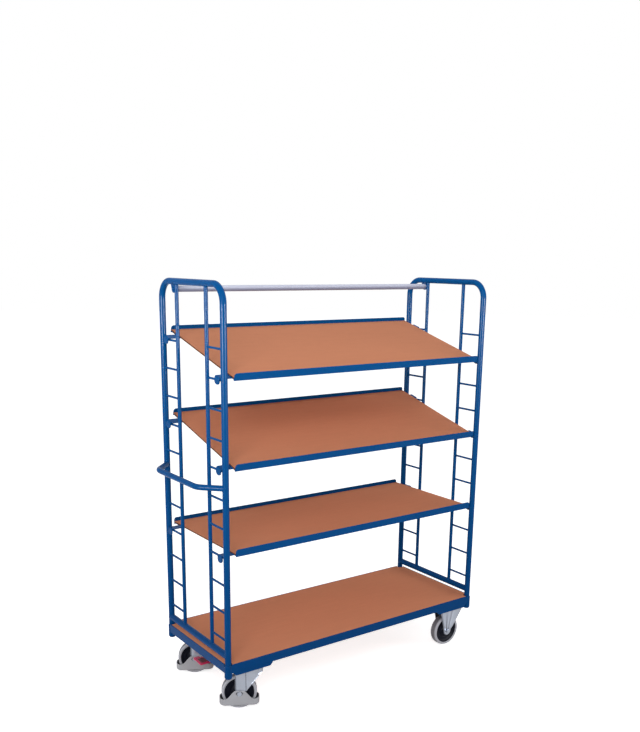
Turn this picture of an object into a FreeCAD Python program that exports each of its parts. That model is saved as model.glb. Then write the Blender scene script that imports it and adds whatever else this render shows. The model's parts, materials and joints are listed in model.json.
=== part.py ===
"""Shelf trolley: a wheeled base with a deck, two ladder end frames, three hook-on shelves and a push handle.

Millimetres. +Z is up, +X runs along the trolley away from the push handle, +Y runs to its rear.
The origin is the middle of the footprint, on the floor.
"""
import math
import os

import FreeCAD
import Part

V = FreeCAD.Vector

# Driving dimensions of the end frames
post_span = 1440.0
post_depth = 537.0
post_d = 28.0
post_wall = 2.0
hoop_top = 1886.5
hoop_bend_r = 75.0
inner_tube_d = 17.0
inner_tube_wall = 1.5
ladder_w = 139.5
cross_rail_d = 30.0
cross_rail_wall = 2.0
cross_rail_z = 301.5
rung_d = 10.0
rung_pitch = 125.0
rung_count = 11
first_rung_z = 370.0

# Push handle
handle_d = 25.0
handle_wall = 2.0
handle_z = 1052.0
handle_reach = 88.0
handle_bend_r = 65.0

# Stiffening tube at the top, its brackets and bolts
brace_d = 27.0
brace_wall = 2.0
brace_out = 24.0
brace_drop = 17.5
brace_end_disc = 6.0
bracket_t = 5.0
bracket_lobe_r = 17.0
brace_bolt_d = 8.0
brace_bolt_length = 24.0
brace_bolt_head_d = 18.0
brace_bolt_head_h = 7.0

# Base frame
rim_bottom = 227.0
rim_height = 40.0
rim_leg = 20.0
rim_t = 4.0
rim_outset = 15.0
sleeve_d = 34.0
sleeve_bottom = 197.0
sleeve_top = 260.0
sleeve_floor = 12.0
sleeve_round = 10.0
deck_t = 12.0
cross_member_w = 30.0
cross_member_wall = 2.5
mid_member_x = 200.0
deck_notch_gap = 1.5

# Caster shoes and the bolts that hold the casters to them
shoe_inset = 120.0
shoe_length = 200.0
shoe_width = 140.0
shoe_height = 17.0
shoe_web = 5.0
shoe_flange = 4.0
shoe_chamfer = 13.0
swivel_inset = 145.0
fixed_inset = 86.0
caster_inset = 56.5
plate_length = 135.0
plate_width = 110.0
plate_t = 5.0
plate_corner_r = 10.0
plate_holes_x = 105.0
plate_holes_y = 84.0
caster_bolt_d = 8.0
caster_bolt_head = 5.3
caster_nut_h = 6.8
caster_bolt_tip = 3.0
hex_ratio = 1.6

# Wheels
wheel_d = 160.0
tread_w = 40.0
tread_round = 8.0
tyre_wall = 18.0
rim_w = 34.0
rim_ring = 9.0
rim_slope = 4.0
web_half = 7.0
web_groove_r = 37.0
web_groove_w = 9.0
web_groove_depth = 3.0
hub_boss_d = 48.0
bearing_d = 32.0
bearing_w = 10.0
axle_d = 12.0
axle_head = 6.0
spacer_wall = 4.0

# Swivel casters; parked_turn is how far they are turned from straight ahead
parked_turn = -30.0
trail = 50.0
fork_gap = 48.0
fork_t = 4.0
crown_d = 96.0
crown_t = 5.0
crown_skirt_t = 3.5
crown_skirt_z = 187.0
race_d = 72.0
race_depth = 7.0
race_lip_t = 4.0
race_lip_h = 4.3
leg_back = 15.0
leg_back_top = 188.0
leg_back_in = 12.0
leg_front = 30.0
leg_corner_z = 84.0
leg_tip_r = 17.0
nose_out = 106.0
nose_z = 173.0
rib_back = 9.0
rib_front = 25.0
rib_bottom = 99.0
rib_top = 184.0
rib_rise = 2.4
rib_slope = 3.0
king_pin_d = 16.0
king_head_d = 30.0
king_head_h = 5.0

# Foot guards round the swivel wheels
guard_bottom = 20.0
guard_wall = 3.8
guard_half_l = 90.0
guard_half_w = 36.0
guard_corner_r = 26.0
guard_toe_r = 20.0
guard_end_top = 55.0
guard_end_flat = 4.0
guard_scoop_out = 64.0
guard_scoop_z = 52.0
guard_flank_out = 43.0
guard_flank_z = 69.0
guard_saddle_half = 20.0
guard_saddle_top = 94.0
guard_boss_d = 26.0

# Brake pedal of the rear swivel caster; pedal_skew turns it from square to the wheel
pedal_skew = 30.0
pedal_along = 34.0
pedal_out = 50.0
pedal_pivot_z = 96.0
pedal_pin_d = 8.0
pedal_pin_length = 9.0
pedal_lug_w = 22.0
pedal_lug_r = 7.0
pedal_lug_h = 42.0
pedal_neck = 27.0
pedal_left = 40.0
pedal_right = 22.0
pedal_back = 8.0
pedal_end = 64.0
pedal_t = 9.0
pedal_drop = 6.0
pedal_ridges = 5
pedal_ridge_d = 5.0
pedal_ridge_rise = 1.5
pedal_ridge_inset = 6.0
pedal_ridge_start = 14.0

# Fixed casters
fixed_axle_back = 14.0
fixed_leg_back = 48.0
fixed_leg_front = 96.0
fixed_leg_shoulder = 183.0
fixed_leg_tip_r = 24.0
fixed_rib_inset = 13.0
fixed_rib_rise = 3.0

# Shelves: panel, lips and hooks, in the shelf's own axes; heights are above the hooks' undersides
shelf_left_gap = 46.0
shelf_right_gap = 18.0
shelf_front_in = 0.5
shelf_rear_out = 40.5
shelf_shift = 9.0
panel_t = 6.5
lip_h = 32.0
lip_below = 4.5
lip_t = 3.0
lip_corner_r = 13.0
hook_post_gap = 2.5
hook_w = 37.0
hook_t = 5.0
hook_drop = 27.0
hook_tip_r = 15.0
hook_bend_r = 7.0
hook_root = 45.0
hook_throat = 4.0
# Each shelf: name, rung under its front hooks, how many rungs higher its rear hooks hang
shelves = (("top", 10, 1), ("middle", 7, 1), ("lower", 4, 0))

# Clearances
weld_gap = 0.2
running_gap = 0.05
seat_gap = 0.3
bolt_gap = 0.25
panel_gap = 0.4

# Values that follow from the ones above
left_x = -post_span / 2
right_x = post_span / 2
front_y = -post_depth / 2
rear_y = post_depth / 2
hoop_z = hoop_top - post_d / 2
inner_tube_y = post_depth / 2 - ladder_w
brace_y = inner_tube_y + brace_out
brace_z = hoop_z - post_d / 2 - brace_drop
rim_top = rim_bottom + rim_height
rim_x = post_span / 2 + rim_outset
rim_y = post_depth / 2 + rim_outset
mount_z = rim_bottom - shoe_web
plate_bottom = mount_z - plate_t
axle_z = wheel_d / 2
swivel_x = left_x + swivel_inset
fixed_x = right_x - fixed_inset
caster_y = post_depth / 2 - caster_inset
crown_top = plate_bottom - race_depth - seat_gap
leg_out = fork_gap / 2 + fork_t
parked = math.radians(parked_turn)
axle_back = trail * math.cos(parked)
axle_side = -trail * math.sin(parked)
guard_reach = ((guard_half_l - guard_corner_r) * abs(math.sin(parked))
               + (guard_half_w - guard_corner_r) * math.cos(parked) + guard_corner_r)
rungs_z = [first_rung_z + rung_pitch * i for i in range(rung_count)]
shelf_left = left_x + shelf_left_gap
shelf_right = right_x - shelf_right_gap
shelf_front = post_depth / 2 - shelf_front_in
shelf_rear = post_depth / 2 + shelf_rear_out
hook_spacing = post_depth - post_d - 2 * hook_post_gap - hook_w

# The footprint, about the middle of the posts; its own middle becomes the origin
foot_left = left_x - handle_reach - handle_d / 2
foot_right = right_x + sleeve_d / 2
foot_front = front_y - sleeve_d / 2
foot_rear = max(shelf_rear, caster_y + axle_side + guard_reach)
to_origin = V(-(foot_left + foot_right) / 2, -(foot_front + foot_rear) / 2, 0)


def box(x0, x1, y0, y1, z0, z1):
    """Block between two corners."""
    return Part.makeBox(x1 - x0, y1 - y0, z1 - z0, V(x0, y0, z0))


def rod(r, p, q):
    """Round bar of radius r from point p to point q."""
    d = q - p
    return Part.makeCylinder(r, d.Length, p, d)


def ring(r_out, r_in, p, q):
    """Tube from point p to point q."""
    return rod(r_out, p, q).cut(rod(r_in, p, q))


def outline(points):
    """Closed face through points in order."""
    return Part.Face(Part.makePolygon(list(points) + [points[0]]))


def hexagon(across, p, direction, height):
    """Hexagonal prism with its base at p."""
    r = across / math.sqrt(3)
    corners = [V(r * math.cos(a), r * math.sin(a), 0) for a in (math.pi / 3 * i for i in range(6))]
    prism = outline(corners).extrude(V(0, 0, height))
    prism.Placement = FreeCAD.Placement(p, FreeCAD.Rotation(V(0, 0, 1), direction))
    return prism


def bent_path(points, bend_r):
    """Wire of straight runs through points, with an arc of bend_r at each inner point."""
    edges = []
    start = points[0]
    for before, corner, after in zip(points, points[1:], points[2:]):
        into = (corner - before).normalize()
        away = (after - corner).normalize()
        turn = into.getAngle(away)
        reach = bend_r * math.tan(turn / 2)
        a = corner - into * reach
        b = corner + away * reach
        inward = (away - into).normalize()
        middle = corner + inward * (bend_r / math.cos(turn / 2) - bend_r)
        edges.append(Part.LineSegment(start, a).toShape())
        edges.append(Part.Arc(a, middle, b).toShape())
        start = b
    edges.append(Part.LineSegment(start, points[-1]).toShape())
    return Part.Wire(edges)


def bent_bar(points, bend_r, r):
    """Round bar swept along a bent path."""
    path = bent_path(points, bend_r)
    section = Part.Wire([Part.makeCircle(r, points[0], points[1] - points[0])])
    return path.makePipeShell([section], True, True)


def bent_tube(points, bend_r, d, wall):
    """Round tube swept along a bent path."""
    return bent_bar(points, bend_r, d / 2).cut(bent_bar(points, bend_r, d / 2 - wall))


def placed(shape, x, y, turn):
    """Copy of a shape built about the origin, turned about the vertical and set down at x, y."""
    copy = shape.copy()
    place = FreeCAD.Placement(V(x, y, 0), FreeCAD.Rotation(V(0, 0, 1), turn))
    copy.Placement = place.multiply(copy.Placement)
    return copy


def save(name, shapes):
    """Writes one node, a single solid or a group of separate solids."""
    shapes = shapes if isinstance(shapes, list) else [shapes]
    solids = [s for shape in shapes for s in shape.removeSplitter().Solids]
    node = solids[0] if len(solids) == 1 else Part.makeCompound(solids)
    node.translate(to_origin)
    node.exportStep("parts/" + name + ".step")


def corner_posts():
    """The four post centres, as (x, y)."""
    return [(x, y) for x in (left_x, right_x) for y in (front_y, rear_y)]


# End frames

def hoop(x):
    """Inverted U tube whose legs are the two posts of one end."""
    foot = sleeve_bottom + sleeve_floor + seat_gap
    path = [V(x, front_y, foot), V(x, front_y, hoop_z), V(x, rear_y, hoop_z), V(x, rear_y, foot)]
    return bent_tube(path, hoop_bend_r, post_d, post_wall)


def cross_rail(x):
    """Low tube between the two posts, coped to them."""
    rail = ring(cross_rail_d / 2, cross_rail_d / 2 - cross_rail_wall,
                V(x, front_y, cross_rail_z), V(x, rear_y, cross_rail_z))
    reach = V(0, 0, cross_rail_d)
    for y in (front_y, rear_y):
        middle = V(x, y, cross_rail_z)
        rail = rail.cut(rod(post_d / 2 + weld_gap, middle - reach, middle + reach))
    return rail


def inner_tubes(x):
    """The two slim uprights of one end, coped to the cross rail and the hoop's top."""
    tubes = []
    across = V(0, inner_tube_d, 0)
    for y in (-inner_tube_y, inner_tube_y):
        low = V(x, y, cross_rail_z)
        high = V(x, y, hoop_z)
        tube = ring(inner_tube_d / 2, inner_tube_d / 2 - inner_tube_wall, low, high)
        tube = tube.cut(rod(cross_rail_d / 2 + weld_gap, low - across, low + across))
        tubes.append(tube.cut(rod(post_d / 2 + weld_gap, high - across, high + across)))
    return tubes


def rungs(x):
    """The short rods between each post and the upright beside it."""
    near = inner_tube_y + inner_tube_d / 2 + weld_gap
    far = post_depth / 2 - post_d / 2 - weld_gap
    return [rod(rung_d / 2, V(x, side * near, z), V(x, side * far, z))
            for side in (-1, 1) for z in rungs_z]


def push_handle():
    """Bow of tube that stands out of the left end at hand height, coped to the posts."""
    path = [V(left_x, front_y, handle_z), V(left_x - handle_reach, front_y + handle_reach, handle_z),
            V(left_x - handle_reach, rear_y - handle_reach, handle_z), V(left_x, rear_y, handle_z)]
    bow = bent_tube(path, handle_bend_r, handle_d, handle_wall)
    reach = V(0, 0, handle_d)
    for y in (front_y, rear_y):
        middle = V(left_x, y, handle_z)
        bow = bow.cut(rod(post_d / 2 + weld_gap, middle - reach, middle + reach))
    return bow


def brace_bracket(x):
    """Plate under a hoop's top tube, widening upwards from a round lobe that takes the bolt."""
    x0 = x - bracket_t / 2
    top = hoop_z - post_d / 2 - weld_gap
    front = inner_tube_y + inner_tube_d / 2 + weld_gap
    back = brace_y + bracket_lobe_r
    flare = back + bracket_lobe_r / 3
    plate = outline([V(x0, front, brace_z), V(x0, back, brace_z), V(x0, flare, top), V(x0, front, top)])
    plate = plate.extrude(V(bracket_t, 0, 0))
    lobe = rod(bracket_lobe_r, V(x0, brace_y, brace_z), V(x0 + bracket_t, brace_y, brace_z))
    lobe = lobe.common(box(x0, x0 + bracket_t, front, back, brace_z - bracket_lobe_r, top))
    hole = rod(brace_bolt_d / 2 + bolt_gap, V(x0, brace_y, brace_z), V(x0 + bracket_t, brace_y, brace_z))
    return plate.fuse(lobe).cut(hole)


def brace_tube():
    """Straight tube between the brackets, closed by end discs that take the bolts."""
    x0 = left_x + bracket_t / 2
    x1 = right_x - bracket_t / 2
    axis = [V(x, brace_y, brace_z) for x in (x0, x0 + brace_end_disc, x1 - brace_end_disc, x1)]
    tube = rod(brace_d / 2, axis[0], axis[3]).cut(rod(brace_d / 2 - brace_wall, axis[1], axis[2]))
    return tube.cut(rod(brace_bolt_d / 2 + bolt_gap, axis[0], axis[3]))


def brace_bolt(side):
    """Round-headed bolt from outside a bracket into the brace's end."""
    face = (left_x if side < 0 else right_x) + side * bracket_t / 2
    seat = V(face, brace_y, brace_z)
    shank = rod(brace_bolt_d / 2, seat - V(side * brace_bolt_length, 0, 0), seat)
    r = brace_bolt_head_d / 2
    ball_r = (r * r + brace_bolt_head_h ** 2) / (2 * brace_bolt_head_h)
    ball = Part.makeSphere(ball_r, seat + V(side * (brace_bolt_head_h - ball_r), 0, 0))
    dome = ball.common(rod(r, seat, seat + V(side * brace_bolt_head_h, 0, 0)))
    return shank.fuse(dome)


# Base

def corner_sleeve(x, y):
    """Round socket with a closed, rounded foot, into which a post is pushed."""
    cup = rod(sleeve_d / 2, V(x, y, sleeve_bottom), V(x, y, sleeve_top))
    foot = [e for e in cup.Edges if abs(e.BoundBox.ZMax - sleeve_bottom) < 1e-6]
    cup = cup.makeFillet(sleeve_round, foot)
    bore = rod(post_d / 2 + bolt_gap, V(x, y, sleeve_bottom + sleeve_floor), V(x, y, sleeve_top))
    return cup.cut(bore)


def sleeve_spaces(gap):
    """Round bars to clear each corner sleeve by gap."""
    r = sleeve_d / 2 + gap
    return [rod(r, V(x, y, sleeve_bottom), V(x, y, rim_top + rim_t)) for x, y in corner_posts()]


def long_rail(side):
    """Angle rail along the front or rear, upright outside and ledge inwards at its foot."""
    outer = side * rim_y
    section = [(outer, rim_bottom), (outer - side * rim_leg, rim_bottom),
               (outer - side * rim_leg, rim_bottom + rim_t), (outer - side * rim_t, rim_bottom + rim_t),
               (outer - side * rim_t, rim_top), (outer, rim_top)]
    rail = outline([V(left_x, y, z) for y, z in section]).extrude(V(post_span, 0, 0))
    return rail.cut(Part.makeCompound(sleeve_spaces(weld_gap)))


def end_rail(side):
    """Angle rail along one end; its ledge stops between the ledges of the long rails."""
    x = side * rim_x
    upright = box(min(x, x - side * rim_t), max(x, x - side * rim_t), front_y, rear_y, rim_bottom, rim_top)
    ledge_y = rim_y - rim_leg - weld_gap
    ledge = box(min(x, x - side * rim_leg), max(x, x - side * rim_leg), -ledge_y, ledge_y,
                rim_bottom, rim_bottom + rim_t)
    return upright.fuse(ledge).cut(Part.makeCompound(sleeve_spaces(weld_gap)))


def cross_members():
    """Square tubes across the base, under the deck, between the long rails' ledges."""
    reach = rim_y - rim_leg - weld_gap
    z0 = rim_bottom
    z1 = rim_top - deck_t
    half = cross_member_w / 2
    inner = half - cross_member_wall
    tubes = []
    for x in (swivel_x, -mid_member_x, mid_member_x, fixed_x):
        outer = box(x - half, x + half, -reach, reach, z0, z1)
        tubes.append(outer.cut(box(x - inner, x + inner, -reach, reach,
                                   z0 + cross_member_wall, z1 - cross_member_wall)))
    return tubes


def deck_panel():
    """Board that lies on the cross members, level with the rim, notched round the sleeves."""
    dx = rim_x - rim_t - panel_gap
    dy = rim_y - rim_t - panel_gap
    board = box(-dx, dx, -dy, dy, rim_top - deck_t, rim_top)
    return board.cut(Part.makeCompound(sleeve_spaces(deck_notch_gap)))


def hole_places(x, y):
    """Centres of a caster's four mounting holes."""
    return [(x + sx * plate_holes_x / 2, y + sy * plate_holes_y / 2) for sx in (-1, 1) for sy in (-1, 1)]


def caster_holes(x, y, z0, z1):
    """Bars that cut a caster's four mounting holes."""
    r = caster_bolt_d / 2 + bolt_gap
    return Part.makeCompound([rod(r, V(hx, hy, z0), V(hx, hy, z1)) for hx, hy in hole_places(x, y)])


def caster_shoe(x, y, caster_x):
    """Folded channel under a corner of the base that takes a caster's plate."""
    half = shoe_width / 2
    low = rim_bottom - shoe_height
    x0 = x - shoe_length / 2
    x1 = x + shoe_length / 2
    side = outline([V(x0, y - half, rim_bottom), V(x1, y - half, rim_bottom), V(x1, y - half, mount_z),
                    V(x1 - shoe_chamfer, y - half, low), V(x0 + shoe_chamfer, y - half, low),
                    V(x0, y - half, mount_z)])
    block = side.extrude(V(0, shoe_width, 0))
    inside = box(x0, x1, y - half + shoe_flange, y + half - shoe_flange, low, mount_z)
    return block.cut(inside).cut(caster_holes(caster_x, y, mount_z, rim_bottom))


def caster_fasteners(x, y):
    """The four bolts and four nuts that hold one caster."""
    pieces = []
    across = caster_bolt_d * hex_ratio
    tip = plate_bottom - caster_nut_h - caster_bolt_tip
    for hx, hy in hole_places(x, y):
        shank = rod(caster_bolt_d / 2, V(hx, hy, tip), V(hx, hy, rim_bottom))
        head = hexagon(across, V(hx, hy, rim_bottom), V(0, 0, 1), caster_bolt_head)
        pieces.append(shank.fuse(head))
        nut = hexagon(across, V(hx, hy, plate_bottom - caster_nut_h), V(0, 0, 1), caster_nut_h)
        bore = rod(caster_bolt_d / 2 + running_gap, V(hx, hy, tip), V(hx, hy, plate_bottom))
        pieces.append(nut.cut(bore))
    return pieces


def top_plate():
    """Caster's mounting plate about the origin, with rounded corners and four holes."""
    plate = box(-plate_length / 2, plate_length / 2, -plate_width / 2, plate_width / 2, plate_bottom, mount_z)
    plate = plate.makeFillet(plate_corner_r, [e for e in plate.Edges if e.BoundBox.ZLength > plate_t / 2])
    return plate.cut(caster_holes(0, 0, plate_bottom, mount_z))


# Wheels and axles, built with the axle along Y over the origin

def at_radius(r, along):
    """Point straight above the axle."""
    return V(0, along, axle_z + r)


def turned(face):
    """Solid that a half section sweeps round the axle."""
    return face.revolve(V(0, 0, axle_z), V(0, 1, 0), 360)


def tyre():
    """Tread ring with rounded shoulders."""
    r = wheel_d / 2
    seat = r - tyre_wall
    half = tread_w / 2
    rim = rim_w / 2
    soft = tread_round * (1 - math.sqrt(0.5))

    def shoulder(s):
        return Part.Arc(at_radius(r - tread_round, s * half), at_radius(r - soft, s * (half - soft)),
                        at_radius(r, s * (half - tread_round))).toShape()

    flat = half - tread_round
    return turned(Part.Face(Part.Wire([
        Part.LineSegment(at_radius(seat, -rim), at_radius(seat, rim)).toShape(),
        Part.LineSegment(at_radius(seat, rim), at_radius(r - tread_round, half)).toShape(),
        shoulder(1),
        Part.LineSegment(at_radius(r, flat), at_radius(r, -flat)).toShape(),
        shoulder(-1),
        Part.LineSegment(at_radius(r - tread_round, -half), at_radius(seat, -rim)).toShape()])))


def hub():
    """Dished wheel centre: bearing boss, grooved web and rim."""
    r = wheel_d / 2 - tyre_wall - running_gap
    half = tread_w / 2
    rim = rim_w / 2
    boss = hub_boss_d / 2
    groove_in = web_groove_r - web_groove_w / 2
    groove_out = web_groove_r + web_groove_w / 2
    groove = web_half - web_groove_depth
    near = [(bearing_d / 2, half), (boss, half), (boss, web_half), (groove_in, web_half), (groove_in, groove),
            (groove_out, groove), (groove_out, web_half), (r - rim_ring - rim_slope, web_half),
            (r - rim_ring, rim), (r, rim)]
    far = [(q, -s) for q, s in reversed(near)]
    return turned(outline([at_radius(q, s) for q, s in near + far]))


def bearings():
    """The two bearing rings of a wheel."""
    half = tread_w / 2
    return [ring(bearing_d / 2 - running_gap, axle_d / 2 + running_gap,
                 V(0, end * (half - bearing_w), axle_z), V(0, end * half, axle_z)) for end in (-1, 1)]


def axle(reach):
    """Axle bolt, nut and two spacers; reach is where head and nut seat, off the wheel's middle."""
    across = axle_d * hex_ratio
    head_seat = V(0, -reach, axle_z)
    nut_seat = V(0, reach, axle_z)
    tip = V(0, reach + axle_head, axle_z)
    bolt = rod(axle_d / 2, head_seat, tip).fuse(hexagon(across, head_seat, V(0, -1, 0), axle_head))
    nut = hexagon(across, nut_seat, V(0, 1, 0), axle_head).cut(rod(axle_d / 2 + running_gap, nut_seat, tip))
    spacers = [ring(axle_d / 2 + spacer_wall, axle_d / 2 + running_gap,
                    V(0, end * (tread_w / 2 + seat_gap), axle_z), V(0, end * fork_gap / 2, axle_z))
               for end in (-1, 1)]
    return [bolt, nut] + spacers


# Swivel casters, built about the swivel axis with the axle behind it

def swivel_head():
    """Top plate with its pressed race, and the king pin that hangs the fork."""
    race_foot = V(0, 0, plate_bottom - race_depth)
    race = Part.makeCone(race_d / 2 - race_depth / 2, race_d / 2, race_depth, race_foot)
    bore = rod(king_pin_d / 2 + running_gap, race_foot, V(0, 0, mount_z))
    head_top = crown_top - crown_t - seat_gap
    pin = rod(king_pin_d / 2, V(0, 0, head_top), V(0, 0, mount_z))
    head = Part.makeCone(king_head_d / 2 - king_head_h / 2, king_head_d / 2, king_head_h,
                         V(0, 0, head_top - king_head_h))
    return [top_plate().fuse(race).cut(bore), pin.fuse(head)]


def leg_side(side):
    """One leg of a swivel fork: upright behind, running forward under the crown along a slope."""
    y = side * fork_gap / 2
    top = crown_top - crown_t / 2
    points = [(-leg_back, leg_back_top), (leg_back_in, top), (nose_out, top), (nose_out, nose_z),
              (leg_front, leg_corner_z), (leg_tip_r, axle_z), (-leg_back, axle_z)]
    plate = outline([V(a - trail, y, z) for a, z in points]).extrude(V(0, side * fork_t, 0))
    tip = rod(leg_tip_r, V(-trail, y, axle_z), V(-trail, y + side * fork_t, axle_z))
    return plate.fuse([tip, leg_rib(side)])


def leg_rib(side):
    """Pressed rib on the outside of a swivel leg, with sloping edges."""
    def edge(inset, rise):
        y = side * (leg_out + rise)
        a0 = -trail - rib_back + inset
        a1 = -trail + rib_front - inset
        z0 = rib_bottom + inset
        z1 = rib_top - inset
        corners = [V(a0, y, z0), V(a1, y, z0), V(a1, y, z1), V(a0, y, z1)]
        return Part.makePolygon(corners + [corners[0]])

    return Part.makeLoft([edge(0, 0), edge(rib_slope, rib_rise)], True, True)


def swivel_fork():
    """Pressed fork: two legs under a round crown with a skirt below and a race lip above."""
    low = V(0, 0, crown_skirt_z)
    high = V(0, 0, crown_top)
    under = V(0, 0, crown_top - crown_t)
    crown = rod(crown_d / 2, low, high).cut(rod(crown_d / 2 - crown_skirt_t, low, under))
    lip_in = race_d / 2 + race_lip_t / 2
    lip = ring(lip_in + race_lip_t, lip_in, high, high + V(0, 0, race_lip_h))
    fork = crown.fuse([lip, leg_side(-1), leg_side(1)])
    fork = fork.cut(rod(king_pin_d / 2 + running_gap, low, high))
    across = V(0, leg_out, 0)
    middle = V(-trail, 0, axle_z)
    return fork.cut(rod(axle_d / 2 + bolt_gap, middle - across, middle + across))


# Foot guards and pedals, built about the axle

def rounded_block(half_x, half_y, r, z0, z1):
    """Upright block about the origin with rounded corners."""
    block = box(-half_x, half_x, -half_y, half_y, z0, z1)
    return block.makeFillet(r, [e for e in block.Edges if e.BoundBox.ZLength > (z1 - z0) / 2])


def guard_side():
    """Side outline of a foot guard: rounded toes, scooped flanks and a saddle over the axle."""
    y = -guard_half_w
    toe = guard_half_l - guard_toe_r
    soft = guard_toe_r * (1 - math.sqrt(0.5))
    lip = guard_half_l - guard_end_flat
    dip = (lip + guard_scoop_out) / 2
    dip_z = guard_scoop_z + (guard_end_top - guard_scoop_z) / 4

    def half(s):
        def at(a, z):
            return V(s * a, y, z)

        return [Part.Arc(at(toe, guard_bottom), at(guard_half_l - soft, guard_bottom + soft),
                         at(guard_half_l, guard_bottom + guard_toe_r)).toShape(),
                Part.LineSegment(at(guard_half_l, guard_bottom + guard_toe_r),
                                 at(guard_half_l, guard_end_top)).toShape(),
                Part.LineSegment(at(guard_half_l, guard_end_top), at(lip, guard_end_top)).toShape(),
                Part.Arc(at(lip, guard_end_top), at(dip, dip_z),
                         at(guard_scoop_out, guard_scoop_z)).toShape(),
                Part.Arc(at(guard_scoop_out, guard_scoop_z), at(guard_flank_out, guard_flank_z),
                         at(guard_saddle_half, guard_saddle_top)).toShape()]

    floor = Part.LineSegment(V(-toe, y, guard_bottom), V(toe, y, guard_bottom)).toShape()
    saddle = Part.LineSegment(V(-guard_saddle_half, y, guard_saddle_top),
                              V(guard_saddle_half, y, guard_saddle_top)).toShape()
    return Part.Face(Part.Wire(Part.__sortEdges__([floor, saddle] + half(1) + half(-1))))


def to_pedal(shape):
    """Moves a shape built about the pedal's pivot to its place beside the wheel."""
    return placed(shape, pedal_along, -pedal_out, pedal_skew)


def wheel_guard():
    """Foot guard round the lower wheel, with axle bosses."""
    inner_l = guard_half_l - guard_wall
    inner_w = guard_half_w - guard_wall
    shell = rounded_block(guard_half_l, guard_half_w, guard_corner_r, guard_bottom, guard_saddle_top)
    hollow = rounded_block(inner_l, inner_w, guard_corner_r - guard_wall, guard_bottom, guard_saddle_top)
    guard = shell.cut(hollow).common(guard_side().extrude(V(0, 2 * guard_half_w, 0)))
    for side in (-1, 1):
        inside = V(0, side * leg_out, axle_z)
        outside = V(0, side * guard_half_w, axle_z)
        guard = guard.fuse(rod(guard_boss_d / 2, inside, outside))
        guard = guard.cut(rod(axle_d / 2 + bolt_gap, inside, outside))
    return guard


def pedal_lug():
    """Lug that stands out of the guard for the brake pedal, with a trunnion at each side."""
    half_lug = pedal_lug_w / 2
    top = pedal_pivot_z + pedal_lug_r
    knuckle = rod(pedal_lug_r, V(-half_lug, 0, pedal_pivot_z), V(half_lug, 0, pedal_pivot_z))
    neck = box(-half_lug, half_lug, 0, pedal_neck, top - pedal_lug_h, top)
    pin_end = V(half_lug + pedal_pin_length, 0, 0)
    pivot = V(0, 0, pedal_pivot_z)
    pin = rod(pedal_pin_d / 2, pivot - pin_end, pivot + pin_end)
    inside = box(-guard_half_l, guard_half_l, guard_wall - guard_half_w, guard_half_w, guard_bottom, top)
    return to_pedal(knuckle.fuse([neck, pin])).cut(inside)


def brake_pedal():
    """Foot plate that slopes down and outwards, ridged on top, notched round the lug and borne on its trunnions."""
    top = pedal_pivot_z + pedal_lug_r
    tail = top - pedal_drop
    nose = pedal_end - pedal_t / 2
    section = [(-pedal_back, top), (0, top), (nose, tail), (pedal_end, tail - pedal_t / 2), (nose, tail - pedal_t),
               (0, top - pedal_t), (-pedal_back, top - pedal_t)]
    plate = outline([V(-pedal_left, -s, z) for s, z in section]).extrude(V(pedal_left + pedal_right, 0, 0))
    step = (nose - pedal_ridge_start) / pedal_ridges
    parts = []
    for i in range(pedal_ridges):
        run = pedal_ridge_start + step * i
        z = top - pedal_drop * run / nose + pedal_ridge_rise - pedal_ridge_d / 2
        parts.append(rod(pedal_ridge_d / 2, V(pedal_ridge_inset - pedal_left, -run, z),
                         V(pedal_right - pedal_ridge_inset, -run, z)))
    parts.append(rod(pedal_lug_r, V(-pedal_left, 0, pedal_pivot_z), V(pedal_right, 0, pedal_pivot_z)))
    notch = pedal_lug_w / 2 + seat_gap
    room = pedal_lug_r + seat_gap
    low = top - pedal_lug_h
    gap = box(-notch, notch, -room, pedal_neck, low, top + pedal_ridge_rise)
    bore = rod(pedal_pin_d / 2 + running_gap, V(-pedal_left, 0, pedal_pivot_z), V(pedal_right, 0, pedal_pivot_z))
    return to_pedal(plate.fuse(parts).cut(gap).cut(bore))


# Fixed casters, built about the axle

def leg_tangent(reach, r):
    """Where a leg's sloping edge, from its shoulder at reach, meets the round end: out from the axle, and up."""
    rise = fixed_leg_shoulder - axle_z
    angle = math.atan2(rise, reach) - math.acos(r / math.hypot(reach, rise))
    return r * math.cos(angle), axle_z + r * math.sin(angle)


def fixed_leg_face(y, inset):
    """Face of a fixed leg: upright to its shoulders, then sloping in, tangent to a round end about the axle."""
    r = fixed_leg_tip_r - inset / 2
    front = fixed_leg_front - inset
    back = fixed_leg_back - inset
    front_out, front_z = leg_tangent(front, r)
    back_out, back_z = leg_tangent(back, r)
    edge = [V(-back_out, y, back_z), V(-back, y, fixed_leg_shoulder), V(-back, y, plate_bottom),
            V(front, y, plate_bottom), V(front, y, fixed_leg_shoulder), V(front_out, y, front_z)]
    end = Part.Arc(edge[-1], V(0, y, axle_z - r), edge[0]).toShape()
    return Part.Face(Part.Wire([Part.LineSegment(a, b).toShape() for a, b in zip(edge, edge[1:])] + [end]))


def fixed_fork():
    """Pressed fork: a top plate and two legs that taper back to the axle, each with a raised middle."""
    fork = placed(top_plate(), fixed_axle_back, 0, 0)
    for side in (-1, 1):
        inner = side * fork_gap / 2
        leg = fixed_leg_face(inner, 0).extrude(V(0, side * fork_t, 0))
        rib = fixed_leg_face(inner + side * fork_t, fixed_rib_inset).extrude(V(0, side * fixed_rib_rise, 0))
        fork = fork.fuse([leg, rib])
    across = V(0, leg_out + fixed_rib_rise, 0)
    middle = V(0, 0, axle_z)
    return fork.cut(rod(axle_d / 2 + bolt_gap, middle - across, middle + across))


# Shelves, built level about the origin

def hook_edge():
    """How far a hook's outer edge lies from the shelf's middle."""
    return hook_spacing / 2 + hook_w / 2


def shelf_end(end):
    """How far a shelf's left or right end lies from the middle of the posts."""
    return shelf_right if end > 0 else -shelf_left


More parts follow.
